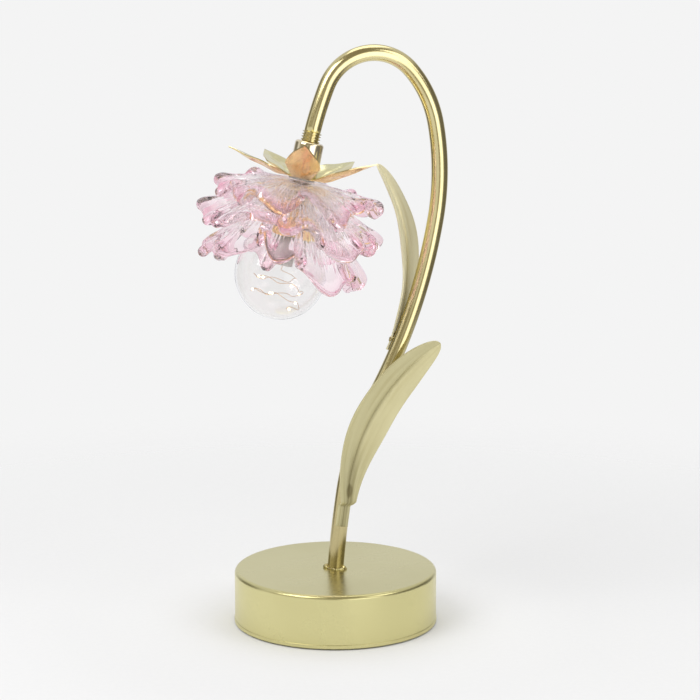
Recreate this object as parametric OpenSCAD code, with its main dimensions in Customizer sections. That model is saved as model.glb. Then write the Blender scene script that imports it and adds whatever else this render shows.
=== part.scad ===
// Flower lamp: a bent stem on a round base, carrying a glass flower over a clear globe.
// The origin is the centre of the base's underside, on the table. +Z is up, the stem bends
// in the XZ plane, and the flower hangs towards -X. Sizes are in millimetres.

/* [Base] */
// Diameter of the round base, over its rolled hem
base_d = 125; // [120:1:150]
// Height of the base's top face above the table
base_top = 33.5; // [33:0.5:45]
// Sheet thickness of the base shell
shell_t = 1.5; // [1:0.1:1.8]
// Radius of the base's upper edge
rim_r = 2.4; // [2:0.1:4]
// Height of the rolled hem at the shell's lower edge
hem_h = 2.2; // [1.6:0.1:3]
// How far the hem stands out from the wall
hem_out = 0.3; // [0.2:0.1:0.6]
// Height of the shell's lower edge above the table
foot_gap = 1; // [0.6:0.1:1.5]
// Depth of the cover's outer face inside the shell's lower edge
cover_inset = 1; // [0.5:0.1:1.5]
// Thickness of the bottom cover
cover_t = 2.5; // [2.4:0.1:3.5]
// Thickness of the iron ballast disc
ballast_t = 8; // [4:0.5:8]
// Radial width of the soft foot ring
foot_w = 6; // [4:0.5:6.5]
// Distance of the three cover screws from the centre
screw_pcd_r = 47; // [46:0.5:48]
// Thread diameter of the cover screws and studs
screw_d = 4; // [3:0.5:4]

/* [Battery box] */
// Diameter of one cell
cell_d = 14.3; // [13.5:0.1:14.5]
// Length of one cell, with its nub
cell_l = 50.5; // [48:0.1:50.5]
// Gap between neighbouring cells
cell_gap = 0.9; // [0.6:0.1:1.2]
// Wall thickness of the battery tray
tray_t = 1.5; // [1.2:0.1:2]
// Space for the spring behind each cell
spring_l = 5.2; // [4.5:0.1:5.5]
// Thickness of the battery door
door_t = 2; // [1.6:0.1:2]
// Radius of the door's hinge barrel
barrel_r = 1.1; // [1:0.05:1.15]
// Radius of the door's hinge pins
pin_r = 0.7; // [0.5:0.05:0.7]

/* [Switch] */
// Distance of the switch from the centre of the base
switch_y = 40; // [38:0.5:42]
// Travel of the switch knob
switch_travel = 4; // [2:0.5:5]
// Length of the switch knob along its travel
knob_l = 6; // [4:0.5:7]
// Width of the switch knob
knob_w = 3.6; // [3:0.1:4.5]

/* [Stem] */
// Outer diameter of the stem tube
tube_d = 10; // [8:0.5:11]
// Wall thickness of the stem tube
tube_wall = 1; // [0.8:0.1:1.5]
// Lean of the stem where it leaves the base, in degrees
stem_lean = 4.7; // [3.5:0.1:6]
// Bend radius of the nearly straight foot of the stem
foot_bend_r = 720; // [600:10:900]
// Bend radius of the sweep out from the foot
sweep_r = 180; // [160:5:220]
// Bend radius of the long limb
limb_r = 345; // [300:5:400]
// Bend radius below the shoulder
shoulder_r = 167; // [150:1:180]
// Bend radius of the shoulder
crown_in_r = 68; // [60:1:80]
// Bend radius of the arch's crown
crown_r = 31; // [28:1:36]
// Bend radius of the drop towards the flower
drop_r = 230; // [200:5:300]
// Depth of the tube inside the holder
socket_l = 8.5; // [6:0.5:9]

/* [Leaves] */
// Length of a leaf along its midrib
leaf_l = 120; // [110:1:130]
// Bend radius of a leaf's midrib, in its own plane
leaf_bend_r = 109; // [104:1:130]
// Half width of a leaf at its middle
leaf_half_w = 13.2; // [9:0.1:14]
// Half width of a leaf at its root
leaf_root_w = 4.8; // [4:0.1:6]
// Sheet thickness of the leaves
leaf_t = 1; // [0.8:0.1:1.2]
// Angle of each half blade to the leaf's flat, in degrees
leaf_fold = 14; // [6:1:20]
// Width of the tab that welds the lower leaf to the stem
leaf_tab_w = 7.2; // [5:0.1:8]

/* [Flower holder] */
// Outer diameter of the holder
holder_d = 17.5; // [15:0.5:20]
// Length of the holder
holder_l = 21.5; // [20:0.5:24]
// Radius of the holder's shoulder
holder_r = 2; // [1:0.1:2.5]
// Sheet thickness of the sepals
sepal_t = 0.8; // [0.6:0.1:1]
// Reach of a sepal from the flower's axis
sepal_l = 49; // [40:1:54]
// Half width of a sepal at its widest
sepal_half_w = 11.5; // [9:0.5:12]
// Outer diameter of the threaded nipple
nipple_d = 10; // [9:0.5:10]

/* [Glass flower] */
// Thickness of each petal ring at its hub
petal_t = 4; // [3:0.1:4.2]
// Thickness of each petal ring near its rim
petal_rim_t = 5; // [3.5:0.1:5.5]
// Radius of the flat hub of each petal ring
hub_r = 9; // [8:0.5:10]
// Height of the spacer under the upper petals
upper_spacer_h = 3; // [3:0.5:5]
// Height of the spacer under the middle petals
middle_spacer_h = 4; // [4:0.5:7]
// Height of the spacer under the lower petals
lower_spacer_h = 10; // [8:0.5:14]
// Thickness of the soft washer on top of the upper petals
washer_t = 0.7; // [0.5:0.1:1.2]

/* [Globe] */
// Outer diameter of the glass globe
globe_d = 55; // [52:1:60]
// Thickness of the globe's glass
globe_t = 1.2; // [1:0.1:2]
// Outer radius of the globe's neck
neck_r = 12; // [11:0.1:12.5]
// Outer diameter of the globe cap
cap_d = 32; // [31:0.5:34]
// Sheet thickness of the globe cap
cap_t = 0.8; // [0.6:0.1:1]
// Height of the soft ring between the cap and the globe's neck
gasket_h = 3; // [2:0.1:3]
// Length of the sleeve that carries the light string
sleeve_l = 18.3; // [16:0.1:20]
// Radius of the light string's loops
string_r = 15; // [13:0.5:16]
// Number of lights on the string
light_count = 9; // [5:1:12]

/* [Hidden] */
$fn = 64;

// Clearances and small fits
screw_clear = 0.1;
hinge_clear = 0.06;
slide_clear = 0.15;
door_clear = 0.3;
wall_clear = 0.2;
seat_gap = 0.3;
eps = 0.01;
joint_grow = 0.04;
bend_steps = 8;
weld_gap = 0.45;

// Levels and radii of the base
wall_r = base_d / 2 - hem_out;
inner_r = wall_r - shell_t;
plate_under = base_top - shell_t;
ballast_under = plate_under - ballast_t;
cover_z = foot_gap + cover_inset;
cover_top = cover_z + cover_t;
ballast_r = inner_r - 2.7;
ballast_hole_r = 7;
cover_r = inner_r - wall_clear;
foot_r = cover_r - 1;
stud_r = screw_d / 2;
stud_reach = 6;
screw_bore_r = stud_r + screw_clear;
screw_angles = [90, 210, 330];
screw_head_r = stud_r + 1.75;
screw_head_h = 1.75;
cover_screw_l = 12;

// Battery box: three cells side by side along X, held between end contacts
cell_r = cell_d / 2;
cell_pitch = cell_d + cell_gap;
cell_rows = [-1, 0, 1];
cell_z = cover_top + seat_gap + cell_r + 0.2;
plate_t = 0.4;
cavity_l = cell_l + spring_l + 2 * (plate_t + 0.1) + 0.3;
cavity_w = 3 * cell_d + 2 * cell_gap + 1.7;
cavity_top = cell_z + cell_r + seat_gap;
tray_l = cavity_l + 2 * tray_t;
tray_w = cavity_w + 2 * tray_t;
tray_top = cavity_top + tray_t;
tray_ear_w = 8;
tray_ear_y = tray_w / 2 + 3.6;
tray_screw_r = 1.3;

// Battery door, hinged at +X inside the cover's window
door_l = cavity_l + 1.5;
door_w = cavity_w + 1.6;
hinge_x = door_l / 2;
hinge_z = cover_z + barrel_r;
pin_l = 2.4;
door_lip_t = 0.4;

// Switch on the cover's inner face
knob_z = cover_z - 0.7;
knob_flange_h = 1;
knob_flange_z = cover_top + 1.1;
switch_h = 6;
switch_l = knob_l + switch_travel + 6;
switch_w = 8;
switch_ear_l = 5;
switch_screw_r = 0.9;

// Driver board on two posts of the cover
board_x = -44;
board_y = 6;
board_w = 9;
board_l = 24;
board_t = 1.6;
board_z = cover_top + 4;
post_r = 2.4;
post_y = [-9, 9];
lead_d = 2.2;
lead_z = (tray_top + ballast_under) / 2;
lead_bend_r = 5;
wire_d = 1.2;

// Stem: each bend is [radius, turn in degrees], from the base up and over to the flower
stem_bends = [[foot_bend_r, 3.8], [sweep_r, 20.2], [limb_r, -19], [shoulder_r, -20],
    [crown_in_r, -31], [crown_r, -117], [drop_r, -8.5]];
bore_d = tube_d - 2 * tube_wall;
foot_weld_r = 1.6;

// Each leaf is welded part of the way along the stem, its root just off the stem's skin
lower_leaf_bends = [[foot_bend_r, 3.3]];
lower_leaf_origin = [1.9, tube_d / 2 + leaf_t / 2 + 0.35, 0];
lower_leaf_lean = -9.3;
lower_leaf_bow = -3;
lower_leaf_twist = -8;
leaf_tab_levels = [14, 10, 6, 2.5];
upper_leaf_bends = [stem_bends[0], stem_bends[1], [limb_r, -5.1]];
upper_leaf_origin = [-3.8, tube_d / 2 + 1.2, -2.4];
upper_leaf_lean = 4.9;
upper_leaf_bow = -3;
upper_leaf_twist = -50;

// Levels along the flower's axis, measured down from the holder's top
sepal_w = holder_l;
washer_w = sepal_w + sepal_t;
upper_w = washer_w + washer_t;
upper_spacer_w = upper_w + petal_t;
middle_w = upper_spacer_w + upper_spacer_h;
middle_spacer_w = middle_w + petal_t;
lower_w = middle_spacer_w + middle_spacer_h;
lower_spacer_w = lower_w + petal_t;
cap_w = lower_spacer_w + lower_spacer_h;
nut_h = 4;
nut_w = cap_w + cap_t;
nipple_r = nipple_d / 2;
nipple_wall = 1.4;
nipple_top = holder_l - 9;
nipple_end = nut_w + nut_h + 8;
thread_clear = 0.08;
ring_bore_r = nipple_r + 0.2;
spacer_r = hub_r - 1.2;
globe_r = globe_d / 2;
cap_r = cap_d / 2;
gasket_w = nut_w + 0.3;
neck_top = gasket_w + 0.4;
shoulder_drop = sqrt(pow(globe_r, 2) - pow(cap_r - cap_t, 2));
globe_w = gasket_w + gasket_h + shoulder_drop + 2.1;
cap_h = globe_w - shoulder_drop - seat_gap - cap_w;
sleeve_w = nut_w + nut_h + 0.3;
sleeve_r = nipple_r + 0.95;
sleeve_end = sleeve_w + sleeve_l;
string_t = 0.8;
string_turns = 2.6;
string_drop = 22;
light_r = 1.5;

// Sepals: [direction about the flower's axis, rise of the tip in degrees]
sepals = [[288, 32], [216, 27], [144, 20], [72, 13], [0, 13]];
sepal_step_angles = [-36, -32, -27, -20, -13, -6, 0, 6, 13, 20, 27, 32];
sepal_rings = [0, 0.18, 0.36, 0.55, 0.75, 0.9, 1];
sepal_wide_x = 23;

// Petal rings: each lobe is [direction, reach, drop of its rim below the hub]
upper_lobes = [[15, 50, 11], [75, 48, 7], [135, 48, 6], [195, 51, 5], [250, 44, 11],
    [312, 46, 12]];
middle_lobes = [[20, 57, 21], [72, 54, 17], [124, 54, 16], [176, 56, 18], [228, 57, 21],
    [280, 47, 20], [332, 55, 21]];
lower_lobes = [[0, 51, 34], [60, 49, 32], [120, 48, 32], [180, 51, 35], [232, 50, 34],
    [300, 46, 26]];

// Small helpers

function wrap(a) = a - 360 * round(a / 360);
function smooth(a) = let (c = min(1, max(0, a))) c * c * (3 - 2 * c);

// A rod that follows bends, starting at the origin along +Z; children sit at its end.
// A sphere a hair wider than the rod closes the end of each bend.
module bent_rod(d, bends, i = 0) {
    if (i < len(bends)) {
        radius = bends[i][0];
        turn = bends[i][1];
        side = turn < 0 ? -1 : 1;
        end = [side * radius * (1 - cos(turn)), 0, radius * sin(abs(turn))];
        union() {
            translate([side * radius, 0, 0]) rotate([90, 0, turn < 0 ? 0 : 180])
                rotate_extrude(angle = abs(turn), $fn = ceil(bend_steps * 360 / abs(turn)))
                    translate([radius, 0]) circle(d = d, $fn = 48);
            translate(end) sphere(d = d + joint_grow);
        }
        translate(end) rotate([0, turn, 0]) bent_rod(d, bends, i + 1) children();
    } else {
        children();
    }
}

// The same walk along bends, with nothing drawn on the way
module along(bends, i = 0) {
    if (i < len(bends)) {
        radius = bends[i][0];
        turn = bends[i][1];
        side = turn < 0 ? -1 : 1;
        translate([side * radius * (1 - cos(turn)), 0, radius * sin(abs(turn))])
            rotate([0, turn, 0]) along(bends, i + 1) children();
    } else {
        children();
    }
}

module at_stem_foot() {
    translate([0, 0, base_top]) rotate([0, stem_lean, 0]) children();
}

// The flower's frame: its origin is at the holder's top, and +Z runs down the flower's axis
module at_flower() {
    at_stem_foot() along(stem_bends) children();
}

module ring(r_out, r_in, h) {
    difference() {
        cylinder(r = r_out, h = h);
        translate([0, 0, -1]) cylinder(r = r_in, h = h + 2);
    }
}

module at_screws() {
    for (a = screw_angles) rotate([0, 0, a]) translate([screw_pcd_r, 0, 0]) children();
}

// A soft wire through points, with rounded corners
module wire(points, d) {
    for (i = [0 : len(points) - 2]) {
        a = points[i];
        v = points[i + 1] - a;
        l = norm(v);
        translate(a) rotate([0, acos(v[2] / l), atan2(v[1], v[0])]) cylinder(d = d, h = l);
    }
    // The turn keeps each corner ball's poles and seam off the wires that meet in it
    for (i = [1 : len(points) - 2]) translate(points[i]) rotate([25, 35, 15]) sphere(d = 1.1 * d);
}

// Faces of a closed grid of points: rows run round the form, columns round its section
function grid_faces(rows, columns) = [for (i = [0 : rows - 1], j = [0 : columns - 1])
    let (k = (i + 1) % rows, m = (j + 1) % columns)
    each [[i * columns + j, i * columns + m, k * columns + m],
        [i * columns + j, k * columns + m, k * columns + j]]];

// Faces of a tube of points with flat ends
function tube_faces(rows, columns) = concat(
    [for (i = [0 : rows - 2], j = [0 : columns - 1]) let (m = (j + 1) % columns)
        each [[i * columns + j, i * columns + m, (i + 1) * columns + m],
            [i * columns + j, (i + 1) * columns + m, (i + 1) * columns + j]]],
    [for (j = [0 : columns / 2 - 2])
        each [[j, columns - 1 - j, columns - 2 - j], [j, columns - 2 - j, j + 1]]],
    [for (j = [0 : columns / 2 - 2]) let (e = (rows - 1) * columns)
        each [[e + j, e + columns - 2 - j, e + columns - 1 - j],
            [e + j, e + j + 1, e + columns - 2 - j]]]);

// Base

module shell_profile(inset, drop) {
    r = wall_r - inset;
    top = base_top - inset;
    edge = rim_r - inset;
    translate([0, foot_gap - drop]) square([r, top - edge - foot_gap + drop]);
    translate([0, top - edge - eps]) square([r - edge, edge + eps]);
    translate([r - edge, top - edge]) circle(r = edge);
}

module base_shell() {
    color([0.80, 0.79, 0.62]) {
        difference() {
            rotate_extrude($fn = 128) difference() {
                union() {
                    shell_profile(0, 0);
                    translate([wall_r - shell_t / 2, foot_gap])
                        square([shell_t / 2 + hem_out, hem_h - hem_out]);
                    translate([wall_r, foot_gap + hem_h - hem_out]) circle(r = hem_out);
                }
                shell_profile(shell_t, 2);
            }
            translate([0, 0, plate_under - 1]) cylinder(d = bore_d, h = shell_t + 2);
        }
        at_screws() translate([0, 0, ballast_under - stud_reach])
            cylinder(r = stud_r, h = ballast_t + stud_reach + eps);
    }
}

module ballast_disc() {
    color([0.32, 0.32, 0.33]) translate([0, 0, ballast_under]) difference() {
        ring(ballast_r, ballast_hole_r, ballast_t);
        at_screws() translate([0, 0, -1]) cylinder(r = stud_r + seat_gap, h = ballast_t + 2);
    }
}

module cover_standoffs() {
    color([0.72, 0.70, 0.62]) at_screws() translate([0, 0, cover_top]) difference() {
        cylinder(r = stud_r + 2, h = ballast_under - cover_top, $fn = 6);
        translate([0, 0, -1]) cylinder(r = screw_bore_r, h = ballast_under - cover_top + 2);
    }
}

module screw_sink(grow) {
    cylinder(r1 = screw_head_r + grow, r2 = stud_r + grow, h = screw_head_h);
}

module cover_screws() {
    color([0.70, 0.70, 0.70]) at_screws() translate([0, 0, cover_z]) difference() {
        union() {
            screw_sink(0);
            cylinder(r = stud_r, h = cover_screw_l);
        }
        for (a = [0, 90]) rotate([0, 0, a]) translate([-2, -0.4, -1]) cube([4, 0.8, 2]);
    }
}

module foot_ring() {
    color([0.16, 0.16, 0.16]) ring(foot_r, foot_r - foot_w, cover_z);
}

module knob_slot(grow, h) {
    translate([-knob_l / 2 - grow, -knob_w / 2 - grow, 0])
        cube([knob_l + switch_travel + 2 * grow, knob_w + 2 * grow, h]);
}

module at_switch() {
    translate([-switch_travel / 2, -switch_y, 0]) children();
}

module at_switch_screws() {
    for (s = [-1, 1]) translate([s * (switch_l + switch_ear_l) / 2, -switch_y, 0]) children();
}

module at_tray_screws() {
    for (s = [-1, 1]) translate([0, s * tray_ear_y, 0]) children();
}

module at_board_posts() {
    for (y = post_y) translate([board_x, board_y + y, 0]) children();
}

module bottom_cover() {
    window_x = door_l / 2 + door_clear;
    color([0.20, 0.20, 0.20]) difference() {
        union() {
            translate([0, 0, cover_z]) cylinder(r = cover_r, h = cover_t, $fn = 128);
            at_board_posts() translate([0, 0, cover_top - eps])
                cylinder(r = post_r, h = board_z - cover_top + eps);
        }
        // Window for the battery door, with a round thumb notch at its free end
        translate([-window_x, -door_w / 2 - door_clear, cover_z - 1])
            cube([window_x + hinge_x + barrel_r + door_clear, door_w + 2 * door_clear, cover_t + 2]);
        translate([-window_x, 0, cover_z - 1]) cylinder(r = 6, h = 1.2 + 1);
        // Bores for the door's hinge pins
        translate([hinge_x, 0, hinge_z]) rotate([90, 0, 0])
            cylinder(r = pin_r + hinge_clear, h = door_w + 2 * (door_clear + pin_l), center = true);
        // Slot for the switch knob, in a shallow finger dish
        at_switch() translate([0, 0, cover_z - 1]) knob_slot(slide_clear, cover_t + 2);
        at_screws() translate([0, 0, cover_z]) {
            screw_sink(screw_clear);
            translate([0, 0, -1]) cylinder(r = screw_bore_r, h = cover_t + 2);
            translate([0, 0, -1]) cylinder(r = screw_head_r + screw_clear, h = 1 + eps);
        }
        // Blind holes for the small screws
        at_tray_screws() translate([0, 0, cover_z + 0.5]) cylinder(r = tray_screw_r, h = cover_t);
        at_switch_screws() translate([0, 0, cover_z + 0.5])
            cylinder(r = switch_screw_r, h = cover_t);
        at_board_posts() translate([0, 0, cover_top]) cylinder(r = switch_screw_r, h = 10);
    }
}

// Battery box

module battery_tray() {
    color([0.24, 0.24, 0.24]) difference() {
        union() {
            translate([-tray_l / 2, -tray_w / 2, cover_top]) cube([tray_l, tray_w, tray_top - cover_top]);
            translate([-tray_ear_w / 2, -tray_ear_y - 3.4, cover_top])
                cube([tray_ear_w, 2 * tray_ear_y + 6.8, 2]);
        }
        difference() {
            translate([-cavity_l / 2, -cavity_w / 2, cover_top - 1])
                cube([cavity_l, cavity_w, cavity_top - cover_top + 1]);
            // Ribs that keep the cells apart
            for (s = [-1, 1], x = [-15, 15]) translate([x - 5, s * cell_pitch / 2 - 0.6, cell_z + 3.5])
                cube([10, 1.2, 20]);
        }
        at_tray_screws() translate([0, 0, cover_top - 1]) cylinder(r = tray_screw_r + 0.1, h = 4);
        // Holes for the two leads
        translate([tray_l / 2 - tray_t - 1, -cell_pitch, cell_z]) rotate([0, 90, 0])
            cylinder(d = wire_d + 0.6, h = tray_t + 2);
        translate([-tray_l / 2 - 1, cell_pitch, cell_z]) rotate([0, 90, 0])
            cylinder(d = wire_d + 0.6, h = tray_t + 2);
    }
}

module pan_screw(r, l) {
    difference() {
        union() {
            cylinder(r = r * 1.9, h = r * 1.1);
            translate([0, 0, -l]) cylinder(r = r, h = l + eps);
        }
        for (a = [0, 90]) rotate([0, 0, a]) translate([-r, -r * 0.2, r * 0.6])
            cube([2 * r, r * 0.4, 2]);
    }
}

module tray_screws() {
    color([0.70, 0.70, 0.70]) at_tray_screws() translate([0, 0, cover_top + 2])
        pan_screw(tray_screw_r - 0.1, 3.8);
}

module battery_door() {
    color([0.22, 0.22, 0.22]) {
        translate([-door_l / 2, -door_w / 2, cover_z]) cube([door_l, door_w, door_t]);
        translate([hinge_x, 0, hinge_z]) rotate([90, 0, 0]) {
            cylinder(r = barrel_r, h = door_w, center = true);
            cylinder(r = pin_r, h = door_w + 2 * pin_l, center = true);
        }
        // Raised lip that meets the tray's end wall when the door is shut
        translate([-door_l / 2, -door_w / 2 + 4, cover_z + door_t - eps])
            cube([1.2, door_w - 8, cover_t - door_t - 0.1 + eps]);
        // Grip ribs on the inner face stiffen the door
        for (y = [-1, 1]) translate([-door_l / 2 + 6, y * door_w / 4 - 0.6, cover_z + door_t - eps])
            cube([door_l - 14, 1.2, door_lip_t]);
    }
}

function cell_side(row) = row == 0 ? -1 : 1;

module battery_cells() {
    for (row = cell_rows) color([0.30, 0.42, 0.52])
        translate([0, row * cell_pitch, cell_z]) rotate([0, cell_side(row) * 90, 0])
            translate([0, 0, cavity_l / 2 - plate_t - 0.2 - cell_l]) {
                cylinder(r = cell_r, h = cell_l - 1);
                cylinder(r = 2.7, h = cell_l);
            }
}

module contact_plates() {
    plate_h = 11;
    wide = cell_pitch + 12;
    color([0.78, 0.76, 0.66]) for (side = [-1, 1])
        translate([side * (cavity_l / 2 - plate_t / 2 - 0.1), 0, cell_z]) {
            translate([-plate_t / 2, (side < 0 ? -cell_pitch : 0) - 6, -plate_h / 2])
                cube([plate_t, wide, plate_h]);
            translate([-plate_t / 2, side < 0 ? cell_pitch - 6 : -cell_pitch - 6, -plate_h / 2])
                cube([plate_t, 12, plate_h]);
        }
}

// A tapered contact spring along +Z, from the plate to the cell
function spring_point(t, length) = let (r = 4.2 - 1.2 * t, a = 360 * 3 * t)
    [r * cos(a), r * sin(a), length * t];

module contact_spring(length) {
    rows = 25;
    sides = 6;
    wire_r = 0.3;
    points = [for (i = [0 : rows - 1], j = [0 : sides - 1])
        let (t = i / (rows - 1), p = spring_point(t, length), a = 360 * 3 * t, b = 360 * j / sides)
        p + wire_r * [cos(a) * cos(b), sin(a) * cos(b), sin(b)]];
    polyhedron(points, tube_faces(rows, sides));
}

module contact_springs() {
    length = spring_l - 0.8;
    color([0.75, 0.75, 0.75]) for (row = cell_rows)
        translate([0, row * cell_pitch, cell_z]) rotate([0, -cell_side(row) * 90, 0])
            translate([0, 0, cavity_l / 2 - plate_t - 0.4]) mirror([0, 0, 1])
                contact_spring(length);
}

// Switch and driver board

module switch_body() {
    color([0.55, 0.55, 0.56]) difference() {
        union() {
            translate([-switch_l / 2, -switch_y - switch_w / 2, cover_top])
                cube([switch_l, switch_w, switch_h]);
            translate([-switch_l / 2 - switch_ear_l, -switch_y - switch_w / 2, cover_top])
                cube([switch_l + 2 * switch_ear_l, switch_w, 1]);
        }
        at_switch() {
            translate([0, 0, cover_top - 1]) knob_slot(slide_clear, 4);
            translate([0, 0, knob_flange_z - slide_clear])
                knob_slot(1 + slide_clear, knob_flange_h + 2 * slide_clear);
        }
        at_switch_screws() translate([0, 0, cover_top - 1]) cylinder(r = switch_screw_r + 0.1, h = 3);
    }
}

module switch_knob() {
    color([0.12, 0.12, 0.12]) translate([-switch_travel / 2, -switch_y, 0]) {
        translate([-knob_l / 2, -knob_w / 2, knob_z])
            cube([knob_l, knob_w, knob_flange_z + knob_flange_h - knob_z]);
        translate([-knob_l / 2 - 1, -knob_w / 2 - 1, knob_flange_z])
            cube([knob_l + 2, knob_w + 2, knob_flange_h]);
    }
}

module switch_screws() {
    color([0.70, 0.70, 0.70]) at_switch_screws() translate([0, 0, cover_top + 1])
        pan_screw(switch_screw_r - 0.1, 2.8);
}

module driver_board() {
    color([0.10, 0.36, 0.22]) translate([board_x, board_y, board_z]) difference() {
        union() {
            translate([-board_w / 2, -board_l / 2, 0]) cube([board_w, board_l, board_t]);
            // A timer chip and a capacitor
            translate([-2.5, 0.4, board_t - eps]) cube([5, 4, 1.6]);
            translate([-1.5, -2.6, board_t - eps]) cylinder(r = 2, h = 4.5);
        }
        for (y = post_y) translate([0, y, -1]) cylinder(r = switch_screw_r + 0.1, h = board_t + 2);
    }
}

module board_screws() {
    color([0.70, 0.70, 0.70]) at_board_posts() translate([0, 0, board_z + board_t])
        pan_screw(switch_screw_r - 0.1, board_t + 2.5);
}

module battery_leads() {
    board_top = board_z + board_t + eps;
    wire_z = cover_top + 4;
    side_x = tray_l / 2 + 3;
    plus_end = [cavity_l / 2 - 0.1, -cell_pitch, cell_z];
    minus_end = [-cavity_l / 2 + 0.1, cell_pitch, cell_z];
    color([0.62, 0.16, 0.14]) wire([plus_end, [side_x, -cell_pitch, cell_z],
        [side_x, 6 - switch_y, wire_z], [switch_l / 2 + 0.05, -switch_y, wire_z]], wire_d);
    color([0.15, 0.15, 0.15]) wire([minus_end, [-side_x, cell_pitch, cell_z],
        [board_x, board_y + 6, board_top + 4], [board_x, board_y + 6, board_top]], wire_d);
    color([0.62, 0.16, 0.14]) wire([[-switch_l / 2 - 0.05, -switch_y, wire_z],
        [-side_x, 5 - switch_y, wire_z], [-side_x - 3, -12, board_top + 3],
        [board_x + 3, board_y - 2.7, board_top + 3.2], [board_x + 3, board_y - 2.7, board_top]], wire_d);
}

// From the board under the ballast, up the stem and through the holder to the light sleeve
module inner_lead() {
    board_top = board_z + board_t + eps;
    bend_r = lead_bend_r;
    plunge = (base_top - lead_z - bend_r * (1 - sin(stem_lean))) / cos(stem_lean);
    run = -board_x - bend_r - (plunge * sin(stem_lean) + bend_r * cos(stem_lean));
    drop = lead_z - bend_r - board_top;
    color([0.85, 0.84, 0.80]) union() {
        at_stem_foot() bent_rod(lead_d, stem_bends) cylinder(d = lead_d, h = nipple_end + 2);
        at_stem_foot() {
            sphere(d = lead_d + joint_grow);
            rotate([0, 180, 0]) {
                cylinder(d = lead_d, h = plunge);
                translate([0, 0, plunge]) {
                    sphere(d = lead_d + joint_grow);
                    bent_rod(lead_d, [[bend_r, 90 - stem_lean]]) {
                        cylinder(d = lead_d, h = run);
                        translate([0, 0, run]) {
                            sphere(d = lead_d + joint_grow);
                            bent_rod(lead_d, [[bend_r, -90]]) cylinder(d = lead_d, h = drop);
                        }
                    }
                }
            }
        }
    }
}

// Stem

module stem_tube() {
    color([0.78, 0.72, 0.46]) difference() {
        union() {
            at_stem_foot() {
                translate([0, 0, -2]) cylinder(d = tube_d, h = 2);
                sphere(d = tube_d + joint_grow);
                bent_rod(tube_d, stem_bends) cylinder(d = tube_d, h = socket_l);
            }
            // Weld bead round the foot
            translate([0, 0, base_top]) cylinder(r1 = tube_d / 2 + foot_weld_r,
                r2 = tube_d / 2 + 0.2, h = foot_weld_r);
        }
        at_stem_foot() {
            translate([0, 0, -3]) cylinder(d = bore_d, h = 3);
            sphere(d = bore_d + joint_grow);
            bent_rod(bore_d, stem_bends) cylinder(d = bore_d, h = socket_l + 1);
        }
        translate([0, 0, base_top - 10]) cylinder(d = 3 * tube_d, h = 10);
    }
}

// Leaves: one stamping, folded along its midrib, used twice

function leaf_half(t) = t < 0.5
    ? leaf_root_w + (leaf_half_w - leaf_root_w) * sin(90 * pow(2 * t, 1.15))
    : leaf_half_w * sqrt(max(0.012, 1 - pow(2 * t - 1, 2)));

// Point of a leaf: t along the midrib, v across it from -1 to 1, and height above the sheet.
// cup is 1 or -1, for the side that the blade folds to.
function leaf_point(t, v, up, twist, bow, cup) =
    let (turn = t * leaf_l / leaf_bend_r * 180 / PI,
        rib = [leaf_bend_r * (1 - cos(turn)), -bow * t - bow * sin(180 * t), leaf_bend_r * sin(turn)],
        across = [cos(turn), 0, -sin(turn)],
        side = cos(twist) * across + [0, sin(twist), 0],
        face = -sin(twist) * across + [0, cos(twist), 0],
        half = leaf_half(t))
    rib + v * half * cos(leaf_fold) * side - (cup * abs(v) * half * sin(leaf_fold) + up) * face;

module leaf(twist, bow, cup, tab = []) {
    rows = 25;
    spread = [-1, -0.5, 0, 0.5, 1];
    section = concat([for (v = spread) [v, -leaf_t / 2]],
        [for (i = [4 : -1 : 0]) [spread[i], leaf_t / 2]]);
    points = concat([for (down = tab, s = section) tab_point(s[0], s[1], down)],
        [for (i = [0 : rows - 1], s = section)
            leaf_point(i / (rows - 1), s[0], s[1], twist, bow, cup)]);
    polyhedron(points, tube_faces(rows + len(tab), len(section)));
}

// Point of the lower leaf's tab, curved to the tube, a way down from the leaf's root
function tab_point(v, up, down) =
    let (x = v * leaf_tab_w / 2, r = tube_d / 2 + weld_gap + leaf_t / 2 - up,
        p = [x, sqrt(pow(r, 2) - pow(x, 2)), -down] - lower_leaf_origin,
        c = cos(lower_leaf_lean), s = sin(lower_leaf_lean))
    [c * p[0] - s * p[2], p[1], s * p[0] + c * p[2]];

module lower_leaf() {
    color([0.82, 0.80, 0.60]) at_stem_foot() along(lower_leaf_bends)
        mirror([0, 1, 0]) translate(lower_leaf_origin) rotate([0, lower_leaf_lean, 0])
            leaf(lower_leaf_twist, lower_leaf_bow, -1, leaf_tab_levels);
}

module upper_leaf() {
    color([0.82, 0.80, 0.60]) at_stem_foot() along(upper_leaf_bends)
        translate(upper_leaf_origin) rotate([0, upper_leaf_lean, 0])
            mirror([1, 0, 0]) leaf(upper_leaf_twist, upper_leaf_bow, 1);
}

// Flower holder and sepals

module holder_profile() {
    r = holder_d / 2;
    translate([0, holder_r]) square([r, holder_l - holder_r]);
    square([r - holder_r, holder_r + eps]);
    translate([r - holder_r, holder_r]) circle(r = holder_r);
}

module flower_holder() {
    web_top = socket_l + 0.4;
    web_end = nipple_top - 0.3;
    color([0.86, 0.76, 0.42]) at_flower() difference() {
        rotate_extrude() difference() {
            holder_profile();
            square([lead_d, holder_l + 1]);
        }
        translate([0, 0, -1]) cylinder(r = tube_d / 2 + thread_clear, h = web_top + 1);
        translate([0, 0, web_end]) cylinder(r = nipple_r + thread_clear, h = holder_l);
    }
}

module threaded_nipple() {
    color([0.82, 0.74, 0.45]) at_flower() translate([0, 0, nipple_top])
        ring(nipple_r, nipple_r - nipple_wall, nipple_end - nipple_top);
}

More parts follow.
